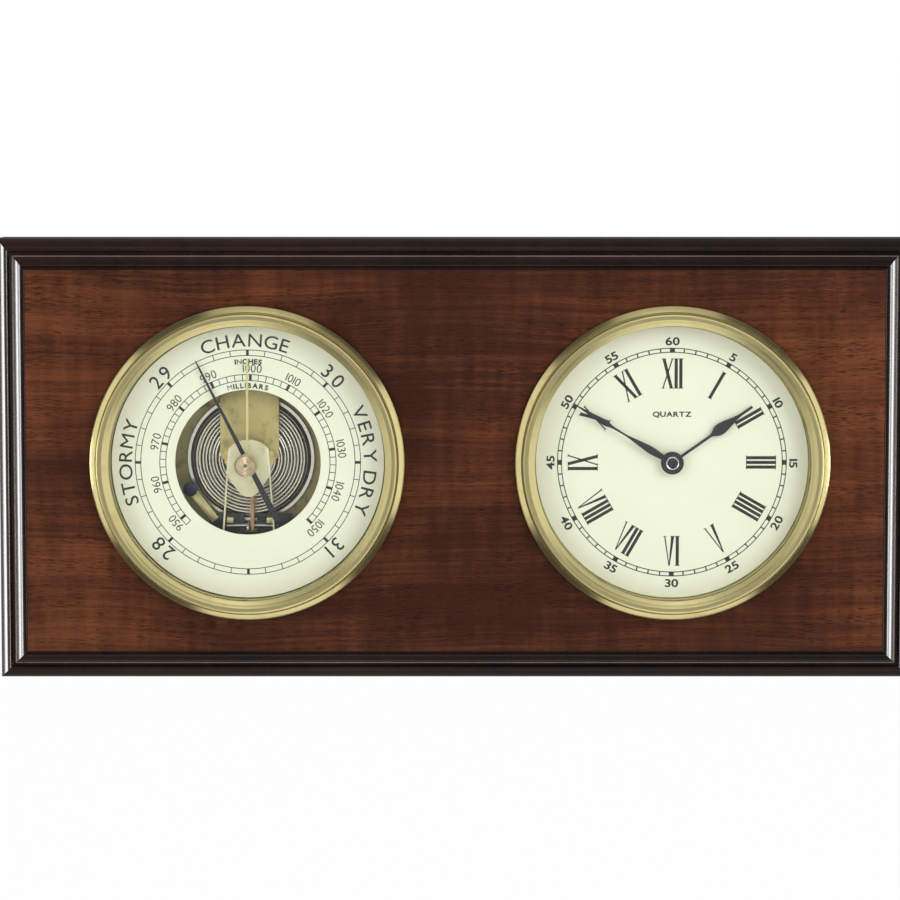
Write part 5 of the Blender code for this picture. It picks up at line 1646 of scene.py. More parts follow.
@dataclass
class Cases(Maker):
    """The two drawn cases and the rubber rings that hold them in the plaque."""

    steps: int = FINE_STEPS
    radius: float = 0.0465
    bore: float = 0.0457
    rim: float = 0.0009
    edge: float = 0.0008
    ribs: int = 3
    rib_height: float = 0.0006
    dial_seat: tuple[float, float] = (-0.0046, -0.0038)
    seat_width: float = 0.0031
    brass: Spun = Spun(
        "case_brass", gloss=0.34, metal=srgb(196, 184, 132), tarnish=srgb(120, 106, 62), wear=0.6
    )

    def grip(self, node: str, name: str) -> None:
        """A rubber ring with soft ribs round it.

        Args:
            node: CAD node of the ring.
            name: Name of the piece.
        """
        low, high = self.insert.level_of(node)
        outer = (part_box(node)[1].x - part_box(node)[0].x) / 2
        groove = outer - self.rib_height
        inner = self.radius + 0.0003
        rib = (high - low) / self.ribs
        profile = [(inner, low), (inner, high)]
        for index in range(self.ribs):
            top = high - rib * index
            profile += [(groove, top), (outer, top - rib * 0.3)]
            profile += [(outer, top - rib * 0.7), (groove, top - rib)]
        unique = [point for index, point in enumerate(profile) if point != profile[index - 1]]
        self.piece(name, self.lathe(unique, closed=True), "plaque", RUBBER, [node])

    def cup(self, node: str, back: float, floor: float) -> None:
        """The barometer's closed case, with its adjuster hole and vent.

        Args:
            node: CAD node of the case.
            back: Level of its back.
            floor: Level of its floor, inside.
        """
        profile = [(0.0, back), (self.radius - self.edge, back), (self.radius - 0.0002, back + 0.0002)]
        profile += [(self.radius, back + self.edge), (self.radius, self.rim), (self.bore, self.rim)]
        profile += [(self.bore, floor + 0.0003), (self.bore - 0.0003, floor), (0.0, floor)]
        cup = self.lathe(profile)
        holes = [circle(0.0, 0.0, 0.0025), circle(0.0, 0.030, 0.0015)]
        cutters = [self.plate([hole], back - 0.002, floor + 0.002) for hole in holes]
        self.piece("weather_case", carved(cup, cutters), "plaque", self.brass, [node])

    def shell(self, node: str, back: float) -> None:
        """The clock's open-backed case, with the seat of its dial.

        Args:
            node: CAD node of the case.
            back: Level of its back edge.
        """
        low, high = self.dial_seat
        inner = self.bore - self.seat_width
        profile = [(self.radius, self.rim), (self.radius, back + 0.0001), (self.radius - 0.0001, back)]
        profile += [(self.bore, back), (self.bore, low), (inner, low)]
        profile += [(inner, high), (self.bore, high), (self.bore, self.rim)]
        self.piece("hour_case", self.lathe(profile, closed=True), "plaque", self.brass, [node])


@dataclass
class Mechanism(Maker):
    """The aneroid movement open to view: capsule, main spring, bridge, rocking shaft and hairspring."""

    dull: Brushed = Brushed(
        "dull_brass", gloss=0.45, metal=srgb(206, 192, 134), tarnish=srgb(128, 114, 68), wear=0.5
    )
    copper: Brushed = Brushed(
        "arm_copper", gloss=0.3, metal=srgb(190, 150, 112), tarnish=srgb(120, 88, 62), wear=0.5
    )
    on_base: float = -0.0211
    pressed: float = 0.73
    capsule_radius: float = 0.0215
    capsule_height: float = 0.0061
    capsule_front: float = -0.0150
    rim_width: float = 0.0013
    hub: float = 0.0032
    wave_height: float = 0.0005
    waves: int = 7
    leaf_half: float = 0.0099
    leaf_front: float = -0.0114
    bridge_front: float = -0.0052
    bridge_back: float = -0.0058
    pillar_across: float = 0.0086
    pillar_up: float = -0.0274
    cock_front: float = -0.0086
    cock_back: float = -0.0092
    rocker_up: float = -0.0225
    rocker_level: float = -0.0134
    drum_level: float = -0.0078
    spring_level: float = -0.0065
    coil_turns: float = 4.45
    coil_start: float = 0.00105
    coil_pitch: float = 0.00066
    coil_half: float = 0.00012

    def sideways(self, mesh: Mesh, lift: float = 0.0) -> Mesh:
        """Lay a mesh that was drawn about the zero insert along the rocking axis.

        Args:
            mesh: Mesh whose drawing plane becomes (up, level) and whose depth runs across.
            lift: How far the mesh is moved along its depth first.

        Returns:
            The same mesh, moved.
        """
        for vert in mesh.vertices:
            vert.co.y += lift
            x, y, z = vert.co
            vert.co = self.insert.place(-y, self.rocker_up + x, self.rocker_level + z)
        return mesh

    def capsule(self) -> None:
        """The corrugated capsule with its rolled rim, and the stud on it."""
        base, radius, front, hub = self.on_base, self.capsule_radius, self.capsule_front, self.hub
        crest = front - self.wave_height
        shoulder = radius - self.rim_width
        rim = base + self.capsule_height * 0.5
        first, last = hub + 0.0009, shoulder - 0.0009
        profile = [(0.0, front - 0.0002), (hub - 0.0006, front - 0.0002), (hub - 0.0004, front)]
        profile += [(hub - 0.0001, front), (hub, crest)]
        steps = self.waves * 12
        for index in range(steps + 1):
            share = index / steps
            depth = self.wave_height * (0.5 + 0.5 * math.cos(2 * math.pi * self.waves * share))
            profile.append((first + (last - first) * share, crest - depth))
        profile += [(shoulder - 0.0002, rim + 0.0012), (shoulder, rim + 0.0002), (shoulder + 0.0002, rim)]
        profile += [(radius - 0.0001, rim), (radius, rim - 0.0001), (radius, rim - 0.0009)]
        profile += [(radius - 0.0001, rim - 0.0010), (shoulder, rim - 0.0010)]
        profile += [(last, base + 0.0005), (hub, base + 0.0005), (hub, base), (0.0, base)]
        mesh = self.lathe(profile, steps=128, sharp=40.0)
        pale, shaded = srgb(232, 229, 216), srgb(168, 164, 148)
        silver = self.spun("capsule_silver", 0.2, pale, shaded, marks=0.2, wear=0.2)
        capsule = self.piece("corrugated_capsule", mesh, "plaque", silver, ["aneroid_capsule"])
        foot = self.insert.place(0.0, 0.0, self.on_base)
        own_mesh(capsule)
        low, high = -0.0147, -0.0125
        post = [(0.0, high), (0.0017, high), (0.0020, high - 0.0003), (0.0020, low), (0.0, low)]
        self.piece("capsule_stud", self.lathe(post, steps=PIN_STEPS), "spring_leaf", STEEL, ["capsule_post"])

    def spring(self) -> None:
        """The leaf and the block that holds its root."""
        half, front = self.leaf_half, self.leaf_front
        right = [(0.0022, -0.0120), (0.0022, -0.0052), (0.0026, -0.0046), (0.0095, 0.0007), (half, 0.0014)]
        leaf = self.plate([mirrored([*right, (half, 0.0292)])], front - 0.0008, front, 0.00012)
        self.piece("leaf_spring", leaf, "spring_leaf", self.dull, ["main_spring"])
        block = self.plate([mirrored([(half, 0.0295), (half, 0.0355)])], self.on_base, front, 0.0003)
        self.piece("leaf_block", block, "plaque", self.dull, ["spring_block"])

    def bridge_outline(self) -> Profile:
        """Outline of the bridge's front plate.

        Returns:
            Its points: round at the top, with a waist and a round tail.
        """
        half, top, shoulder = 0.0067, 0.0074, 0.0044
        sagitta = top - shoulder
        radius = (half**2 + sagitta**2) / (2 * sagitta)
        swing = math.degrees(math.asin(half / radius))
        right = arc(0.0, top - radius, radius, 90.0, 90.0 - swing, 14)
        right += [(0.0075, -0.0043), (0.0069, -0.0052)]
        right += smooth_line([(0.0036, -0.0097), (0.0022, -0.0112), (0.0009, -0.01185)], 4)
        return mirrored(right)

    def bridge(self) -> None:
        """The bridge with its folded sides, long arms and feet."""
        back, front = self.bridge_back, self.bridge_front
        plates = [self.plate([self.bridge_outline(), circle(0.0, 0.0, 0.0007)], back, front, 0.00012)]
        folds = []
        for side in SIDES:
            fold = sided([(0.0067, 0.0043), (0.0075, -0.0042), (0.0067, -0.0042), (0.0059, 0.0043)], side)
            folds.append(self.plate([fold], back - 0.0020, front + 0.00008, 0.00036))
            arm = sided([(0.0074, -0.0042), (0.0068, -0.0042), (0.0083, -0.0258), (0.0089, -0.0258)], side)
            plates.append(self.plate([arm], back, front, 0.0002))
            foot = circle(side * self.pillar_across, self.pillar_up, 0.0018)
            plates.append(self.plate([foot], back, front, 0.00012))
        look = {"gloss": 0.5, "metallic": 0.4, "wear": 0.5, "relief": FINE_RELIEF}
        pale = Brushed("pale_brass", metal=srgb(230, 224, 186), tarnish=srgb(200, 188, 142), **look)
        # The folds take a paler copy of the bridge's brass: a painted highlight for the light their sides
        # catch.
        bright = Brushed("bright_fold", metal=srgb(250, 248, 234), tarnish=srgb(214, 206, 176), **look)
        self.piece("bridge_plate", joined(plates, "bridge_plate"), "plaque", pale, ["bridge"])
        self.piece("bridge_folds", joined(folds, "bridge_folds"), "plaque", bright, slot="bridge")

    def pillars(self) -> None:
        """The two turned and grooved pillars under the bridge's feet."""
        low, high = self.on_base, self.bridge_back - 0.0003
        profile = [(0.0, high), (0.0012, high), (0.0014, high - 0.0002), (0.0014, low + 0.0012)]
        profile += [(0.0011, low + 0.0010), (0.0011, low + 0.0007), (0.0014, low + 0.0005)]
        profile += [(0.0014, low), (0.0, low)]
        for side, name in zip(SIDES, ("pillar_left", "pillar_right")):
            seat = self.insert.moved(side * self.pillar_across, self.pillar_up)
            self.piece(name, Maker(seat, PIN_STEPS).lathe(profile), "plaque", BRASS, ["bridge_" + name])

    def cock(self) -> None:
        """The cock behind the bridge, with its two posts."""
        half, top, bottom, corner = 0.0083, 0.0034, -0.0016, 0.0012
        right = arc(half - corner, bottom + corner, corner, -90.0, 0.0, 6)
        right += arc(half - corner, top - corner, corner, 0.0, 90.0, 6)
        outlines = [mirrored(right), circle(0.0, 0.0, 0.0005)]
        parts = [self.plate(outlines, self.cock_back, self.cock_front, 0.00012)]
        across, up, radius = self.post_place()
        for side in SIDES:
            post = circle(side * across, up, radius)
            parts.append(self.plate([post], self.cock_front - 0.0003, self.bridge_back - 0.0003))
        look = {"metal": srgb(216, 196, 130), "tarnish": srgb(146, 126, 70), "wear": 0.4}
        finish = Brushed("cock_brass", gloss=0.42, **look)
        self.piece("cock_plate", joined(parts, "cock_plate"), "plaque", finish, ["bridge_cock"])

    def post_place(self) -> tuple[float, float, float]:
        """Where the cock's right post stands, beside the outer end of the hairspring.

        Returns:
            Its place to the right and up, and its radius.
        """
        radius = 0.0006
        distance = self.coil_start + self.coil_pitch * self.coil_turns + self.coil_half + 0.0003 + radius
        angle = 2 * math.pi * self.coil_turns
        return abs(distance * math.cos(angle)), abs(distance * math.sin(angle)), radius

    def hairspring(self) -> None:
        """A flat ribbon wound into open turns."""
        count = round(self.coil_turns * 56)
        thin, half = self.coil_half / 2, self.coil_half
        bm = bmesh.new()
        rings = []
        for index in range(count + 1):
            swept = self.coil_turns * index / count
            degrees = 90.0 - 360.0 * swept
            radius = self.coil_start + self.coil_pitch * swept
            ring = []
            for out, rise in rectangle(-thin, -half, thin, half):
                ring.append(bm.verts.new(self.insert.polar(radius + out, degrees, self.spring_level + rise)))
            rings.append(ring)
        for first, second in zip(rings, rings[1:]):
            for i in range(4):
                bm.faces.new((first[i], first[(i + 1) % 4], second[(i + 1) % 4], second[i]))
        bm.faces.new(rings[0])
        bm.faces.new(rings[-1])
        mesh = settle(bm, "hairspring_ribbon", 60.0)
        self.piece("hairspring_ribbon", mesh, "plaque", STEEL, ["hairspring"])

    def arbor(self) -> None:
        """The pointer's arbor with the grooved drum that the chain winds on."""
        drum, low, pin = self.drum_level, self.cock_front + 0.0003, 0.0004
        profile = [(0.0, -0.0006), (0.0005, -0.0006), (0.0006, -0.0007), (0.0006, drum + 0.0005)]
        profile += [(0.0009, drum + 0.00045), (0.0009, drum + 0.0003), (0.0003, drum + 0.00015)]
        profile += [(0.0003, drum - 0.00015), (0.0009, drum - 0.0003), (0.0009, low), (pin, low)]
        profile += [(pin, self.cock_back - 0.0001), (0.0, self.cock_back - 0.0001)]
        self.piece("drum_arbor", self.lathe(profile, steps=PIN_STEPS), "pressure_pointer", STEEL, ["arbor"])

    def bracket(self) -> None:
        """The black bracket with its ears and legs, and the two brass bearings on it."""
        half, top, bottom = 0.0140, -0.0186, -0.0254
        back, front = -0.0150, -0.0144
        outline = [(-half, top), (-half, bottom), (half, bottom), (half, top), (0.0022, top)]
        outline += [(0.0022, bottom + 0.0006), (-0.0022, bottom + 0.0006), (-0.0022, top)]
        plates = [self.plate([outline], back, front, 0.0001)]
        for side in SIDES:
            ear = sided(rectangle(0.0080, -0.0238, 0.0092, -0.0212), side)
            plates.append(self.plate([ear], back + 0.0003, -0.0121, 0.0002))
            leg = sided(rectangle(0.0114, -0.0253, 0.0139, -0.0224), side)
            plates.append(self.plate([leg], self.on_base, back + 0.0003, 0.0002))
        self.piece("rocker_frame", joined(plates, "rocker_frame"), "plaque", BLACK_PLATE, ["rocker_bracket"])
        for side, name in zip(SIDES, ("bearing_block_left", "bearing_block_right")):
            block = sided(rectangle(0.0056, -0.0215, 0.0078, -0.0196), side)
            mesh = self.plate([block], front, -0.0116, 0.0002)
            self.piece(name, mesh, "plaque", BRASS, slot="rocker_bracket")

    def rocker(self) -> None:
        """The rocking shaft and the two arms on it."""
        flat = Maker(Insert(0.0, 0.0, 0.0), PIN_STEPS)
        shaft = [(0.0, 0.0095), (0.0003, 0.0095), (0.0004, 0.0094), (0.0004, 0.0077), (0.0007, 0.0077)]
        shaft = shaft + [(radius, -level) for radius, level in reversed(shaft)]
        self.piece("cross_shaft", self.sideways(flat.lathe(shaft)), "rocker", STEEL, ["rocking_shaft"])
        eye, back, front, reach = 0.0013, 0.0024, 0.0031, 0.0120
        bore = circle(0.0, 0.0, 0.0008)
        arm = [(-eye, -eye), (eye, -eye), (eye, back), (reach, back), (reach, front), (-eye, front)]
        mesh = self.sideways(flat.plate([arm, bore], -0.0006, 0.0006, 0.0001), -0.0009)
        self.piece("long_arm", mesh, "rocker", self.copper, ["input_arm"])
        reach = 0.0056 + eye / 2
        bar = [(-eye, -eye), (eye, -eye), (eye, eye), (eye / 2, reach), (-eye / 2, reach), (-eye, eye)]
        mesh = self.sideways(flat.plate([bar, bore], -0.0003, 0.0003, 0.00008), 0.00045)
        self.piece("short_arm", mesh, "rocker", STEEL, ["output_arm"])

    def chain(self) -> None:
        """Fine links from the short arm up to the drum, every second one turned."""
        low, high, across = -0.0209, 0.0, -0.00045
        count, steps, wire = 42, 12, 0.00003
        pitch = (high - low) / count
        links = []
        for index in range(count):
            up = low + pitch * (index + 0.5)
            loop = []
            for step in range(steps):
                angle = 2 * math.pi * step / steps
                side = 0.00007 * math.sin(angle)
                x, level = (side, 0.0) if index % 2 else (0.0, side)
                rise = (pitch * 0.5 + wire) * math.cos(angle)
                loop.append(self.insert.place(across + x, up + rise, self.drum_level + level))
            links.append(self.ring_wire(loop, wire))
        chain = self.piece("link_chain", joined(links, "link_chain"), "", STEEL, ["chain"])
        fixed = self.insert.place(across, low + 0.0100, self.drum_level)
        swung_end = self.insert.place(across, low + 0.0006, self.drum_level)
        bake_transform(chain)

    @staticmethod
    def ring_wire(loop: Sequence[Vector], radius: float) -> Mesh:
        """A closed loop of wire.

        Args:
            loop: Points of its centreline.
            radius: Radius of the wire.

        Returns:
            The mesh.
        """
        curve = bpy.data.curves.new("loop", "CURVE")
        curve.dimensions = "3D"
        curve.bevel_depth = radius
        curve.bevel_resolution = 0
        add_loop(curve, loop)
        return settle(bm_of(curve), "loop", 60.0)

    def trim(self) -> None:
        """The strip from the bracket up to the blued screw that trims the spring."""
        foot, place, half = (-0.0118, -0.0206), (-0.0201, -0.01005), 0.0014
        dx, dy = place[0] - foot[0], place[1] - foot[1]
        straight = [(half, 0.0), (-half, 0.0)] + arc(0.0, math.hypot(dx, dy), half, 180.0, 0.0, 14)
        turned = swung(straight, math.degrees(math.atan2(dx, dy)))
        outline = [(x + foot[0], y + foot[1]) for x, y in turned]
        mesh = self.plate([outline, circle(*place, 0.0010)], -0.0141, -0.0133, 0.0001)
        self.piece("trim_strip", mesh, "plaque", BRASS, ["trim_arm"])
        maker = Maker(self.insert.moved(*place), PIN_STEPS)
        front, under = -0.0116, -0.0130
        profile = [(0.0, front), (0.0019, front), (0.0023, front - 0.0002), (0.0024, -0.0120)]
        profile += [(0.0024, under), (0.0009, under), (0.0009, -0.0143), (0.0, -0.0143)]
        slot = maker.plate([swung(rectangle(-0.003, -0.0003, 0.003, 0.0003), 35.0)], -0.0121, -0.0105)
        blued = maker.spun("blued_steel", 0.28, srgb(52, 58, 76), srgb(32, 36, 48))
        self.piece("trim_screw_blued", carved(maker.lathe(profile), [slot]), "plaque", blued, ["trim_screw"])

    def build(self) -> None:
        """Build the movement from its base plate forward."""
        base = {"metal": srgb(196, 182, 130), "tarnish": srgb(136, 122, 78), "wear": 0.6}
        dress("base_plate", Brushed("base_brass", gloss=0.42, **base))
        dress("dial_spacer", BLACK_PLATE)
        for part in (self.capsule, self.spring, self.bridge, self.pillars, self.cock, self.hairspring):
            part()
        for part in (self.arbor, self.bracket, self.rocker, self.chain, self.trim):
            part()


@dataclass
class Pointers(Maker):
    """The black pressure hand, and the brass set hand with the knob that turns it through the glass."""

    angle: float = -26.9
    length: float = 0.0381
    tail: float = 0.0215
    knob_radius: float = 0.0038
    knob_foot: float = 0.0031
    knob_height: float = 0.0062

    def pressure_hand(self) -> None:
        """Thin black hand with a flaring tail and a round hub."""
        length, tail, bore = self.length, self.tail, 0.0007
        right = [(0.00014, length), (0.0003, length * 0.94), (0.0005, length * 0.5), (0.0008, 0.0)]
        right += [(0.0011, -tail * 0.98), (0.0010, -tail)]
        outlines = [swung(mirrored(right), self.angle), circle(0.0, 0.0, bore)]
        hand = self.plate(outlines, -0.0019, -0.0016, 0.00006)
        hub = [(bore, -0.0015), (0.0024, -0.0015), (0.0026, -0.0017), (0.0026, -0.0020), (bore, -0.0020)]
        mesh = joined([hand, self.lathe(hub, closed=True, steps=PIN_STEPS)], "pointer")
        self.piece("pressure_pointer_hand", mesh, "pressure_pointer", HAND_BLACK, ["pressure_hand"])

    def set_hand(self) -> None:
        """Narrow brass hand, round at its hub, with its washer."""
        half, length, hub, bore = 0.0004, 0.0350, 0.0024, 0.00115
        opening = math.degrees(math.asin(half / hub))
        outline = [(half, length - 0.0016), (0.0, length), (-half, length - 0.0016)]
        outline += arc(0.0, 0.0, hub, 90.0 + opening, 450.0 - opening, 48)
        hand = self.plate([outline, circle(0.0, 0.0, bore)], -0.0003, 0.0, 0.00006)
        self.piece("set_pointer_hand", hand, "set_pointer", BRASS, ["set_hand"])
        profile = [(bore, 0.0009), (0.0018, 0.0009), (0.0020, 0.0007), (0.0020, 0.0003), (bore, 0.0003)]
        mesh = self.lathe(profile, closed=True, steps=PIN_STEPS)
        self.piece("set_pointer_washer", mesh, "set_pointer", BRASS, ["set_washer"])

    def knob(self) -> None:
        """Turned brass knob: dished face with fine rings, rolled edge, neck and foot."""
        base, radius, height = self.knob_foot, self.knob_radius, self.knob_height
        top, dish, rings = base + height, 0.00014, 5
        profile = [(0.0, top - dish), (0.0004, top - dish)]
        for index in range(1, rings + 1):
            out = 0.0004 + 0.0005 * index
            rise = dish * (1 - index / (rings + 1))
            profile += [(out, top - rise), (out + 0.00008, top - rise - 0.00006)]
            profile += [(out + 0.00016, top - rise)]
        profile += [(radius - 0.0006, top - 0.00002), (radius - 0.0004, top)]
        profile += [(radius - 0.0002, top - 0.00006), (radius - 0.00005, top - 0.0003)]
        profile += [(radius, top - 0.0006), (radius, base + height * 0.48)]
        profile += [(radius - 0.0003, base + height * 0.43), (radius - 0.0010, base + height * 0.40)]
        profile += [(0.0018, base + height * 0.35), (0.0016, base + height * 0.30)]
        profile += [(0.0016, base + 0.0009), (0.0018, base + 0.0006)]
        profile += [(0.0024, base + 0.0006), (0.0026, base + 0.0004), (0.0026, base), (0.0011, base)]
        profile += [(0.0011, -0.0004), (0.0, -0.0004)]
        mesh = self.lathe(profile, steps=72, sharp=40.0)
        finish = self.spun("knob_brass", 0.2, srgb(244, 224, 188), srgb(176, 148, 104))
        self.piece("turned_knob", mesh, "set_pointer", finish, ["set_knob"])

    def adjuster(self) -> None:
        """Slotted screw in the back of the case."""
        back, front = -0.0253, -0.0229
        profile = [(0.0, back), (0.0020, back), (0.0022, back + 0.0002), (0.0022, front), (0.0012, front)]
        profile += [(0.0012, -0.0215), (0.0, -0.0215)]
        slot = self.plate([rectangle(-0.004, -0.0003, 0.004, 0.0003)], back - 0.001, back + 0.0008)
        mesh = carved(self.lathe(profile, steps=PIN_STEPS), [slot])
        self.piece("adjuster_screw", mesh, "calibration", BRASS, ["calibration_screw"])

    def build(self) -> None:
        """Build the hands, the knob and the adjuster."""
        self.pressure_hand()
        self.set_hand()
        self.knob()
        self.adjuster()


@dataclass
class ClockHands(Maker):
    """Pear-shaped hour hand, swelling minute hand, their pipe, arbor and nut."""

    hour_angle: float = 54.8
    minute_angle: float = -59.0
    hour_length: float = 0.0325
    minute_length: float = 0.0387
    hour_back: float = -0.0019
    minute_back: float = -0.0009
    thick: float = 0.0004

    def hour_outline(self) -> Profile:
        """Right side of the hour hand: a pear-shaped leaf between a narrow tip and a stem.

        Returns:
            Its points from the tip down to the hub.
        """
        stem, leaf, tip = 0.00045, 0.00192, 0.00044
        shape = [(1.0, tip * 0.7), (0.985, tip), (0.86, tip), (0.79, tip * 1.7), (0.74, leaf * 0.57)]
        shape += [(0.66, leaf * 0.88), (0.60, leaf), (0.555, leaf * 0.86), (0.51, leaf * 0.42)]
        shape += [(0.485, stem * 1.2), (0.45, stem), (0.05, stem)]
        return smooth_line([(half, share * self.hour_length) for share, half in shape], 4)

    def minute_outline(self) -> Profile:
        """Right side of the minute hand: a long spear and a swelling near the hub.

        Returns:
            Its points from the tip down to the hub.
        """
        stem, swell, spear = 0.00034, 0.00125, 0.0010
        shape = [(1.0, 0.00006), (0.90, spear * 0.35), (0.78, spear * 0.70), (0.70, spear * 0.96)]
        shape += [(0.67, spear), (0.64, spear * 0.78), (0.60, stem * 1.3), (0.52, stem), (0.45, stem)]
        shape += [(0.33, swell * 0.68), (0.22, swell), (0.14, swell * 0.84), (0.05, swell * 0.62)]
        return smooth_line([(half, share * self.minute_length) for share, half in shape], 4)

    def hand(self, outline: Profile, angle: float, back: float, hub: float, bore: float) -> Mesh:
        """One hand with its round hub.

        Args:
            outline: Its right side.
            angle: Degrees clockwise from the top.
            back: Level of its back.
            hub: Radius of its hub.
            bore: Radius of its hole.

        Returns:
            The mesh.
        """
        front = back + self.thick
        blade = self.plate([swung(mirrored(outline), angle)], back, front, 0.00007)
        low, high = back - 0.0001, front + 0.0001
        profile = [(bore, high), (hub - 0.00012, high), (hub, high - 0.00012), (hub, low), (bore, low)]
        return joined([blade, self.lathe(profile, closed=True)], "hand")

    def build(self) -> None:
        """Build both hands and what carries them."""
        hour = self.hand(self.hour_outline(), self.hour_angle, self.hour_back, 0.0036, 0.0023)
        self.piece("hour_leaf_hand", hour, "hour_pointer", HAND_BLACK, ["hour_hand"])
        minute = self.hand(self.minute_outline(), self.minute_angle, self.minute_back, 0.0038, 0.0014)
        self.piece("minute_spear_hand", minute, "minute_pointer", HAND_BLACK, ["minute_hand"])
        dress("hour_pipe", BRASS)
        dress("minute_arbor", STEEL)
        dress("bush_nut", BRASS)
        self.nut()

    def nut(self) -> None:
        """The chromed nut on the minute hand, with a black cap in its middle."""
        low = -0.0001
        ring = [(0.0016, low + 0.0004), (0.0018, low + 0.0008), (0.0020, low + 0.0009)]
        ring += [(0.0022, low + 0.0006), (0.0023, low + 0.0003), (0.0023, low), (0.0016, low)]
        chrome = self.spun("nut_chrome", 0.12, srgb(224, 225, 228), srgb(170, 172, 176))
        mesh = self.lathe(ring, closed=True)
        self.piece("hand_nut_ring", mesh, "minute_pointer", chrome, ["hand_nut"])
        cap = [(0.0, low + 0.0006), (0.0011, low + 0.00055), (0.0015, low + 0.0003)]
        cap += [(0.0015, low), (0.0, low)]
        self.piece("hand_nut_cap", self.lathe(cap), "minute_pointer", BLACK_PLATE, slot="hand_nut")


@dataclass
class Movement(Maker):
    """Quartz movement in the clock's open back, with its battery and setting knob."""

    battery_up: float = -0.0175
    battery_level: float = -0.01415
    battery_radius: float = 0.00715
    battery_length: float = 0.0502
    knob_radius: float = 0.00535
    knob_thick: float = 0.0055
    rib_depth: float = 0.00015
    ribs: int = 36

    def battery(self) -> None:
        """A plain wrapped cell with bare ends."""
        half, radius = self.battery_length / 2, self.battery_radius
        profile = [(0.0, half), (0.0026, half), (0.0027, half - 0.0001), (0.0027, half - 0.001)]
        profile += [(radius - 0.0006, half - 0.001), (radius - 0.0001, half - 0.0012)]
        profile += [(radius, half - 0.0018), (radius, -half + 0.0010), (radius - 0.0002, -half + 0.0004)]
        profile += [(radius - 0.0007, -half + 0.0002), (0.0045, -half + 0.0002)]
        profile += [(0.0043, -half), (0.0, -half)]
        mesh = Maker(Insert(0.0, 0.0, 0.0)).lathe(profile)
        for vert in mesh.vertices:
            x, y, z = vert.co
            vert.co = self.insert.place(-y, self.battery_up + x, self.battery_level + z)
        look = {"base": srgb(74, 88, 104), "drift": srgb(62, 74, 90), "relief": 0.000004}
        wrap = Skin("cell_wrap", gloss=0.3, metallic=0.3, **look)
        self.piece("dry_cell", mesh, "plaque", wrap, ["battery"])

    def setter(self) -> None:
        """Ribbed setting knob on its shaft."""
        low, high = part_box("time_set_knob")
        middle = (low + high) / 2
        back, front = self.insert.level_of("time_set_knob")
        maker = Maker(Insert(middle.x, middle.z, self.insert.panel_y), PIN_STEPS)
        outline = []
        count = self.ribs * 4
        for index in range(count):
            angle = 2 * math.pi * index / count
            radius = self.knob_radius + self.rib_depth * math.cos(self.ribs * angle)
            outline.append((radius * math.cos(angle), radius * math.sin(angle)))
        disc = maker.plate([outline], back, back + self.knob_thick, 0.0003)
        profile = [(0.0, front), (0.0011, front), (0.0013, front - 0.0002)]
        profile += [(0.0013, back + 0.005), (0.0, back + 0.005)]
        mesh = joined([disc, maker.lathe(profile)], "setting_knob")
        look = {"base": srgb(214, 214, 208), "drift": srgb(200, 200, 194), "relief": 0.00001}
        white = Skin("setter_plastic", gloss=0.4, **look)
        self.piece("setting_knob", mesh, "time_setter", white, ["time_set_knob"])

    def build(self) -> None:
        """Dress the movement and build its cell and knob."""
        dress("movement_cover", CASE_PLASTIC)
        dress("movement_body", CASE_PLASTIC)
        dress("contact_left", STEEL)
        dress("contact_right", STEEL)
        self.battery()
        self.setter()


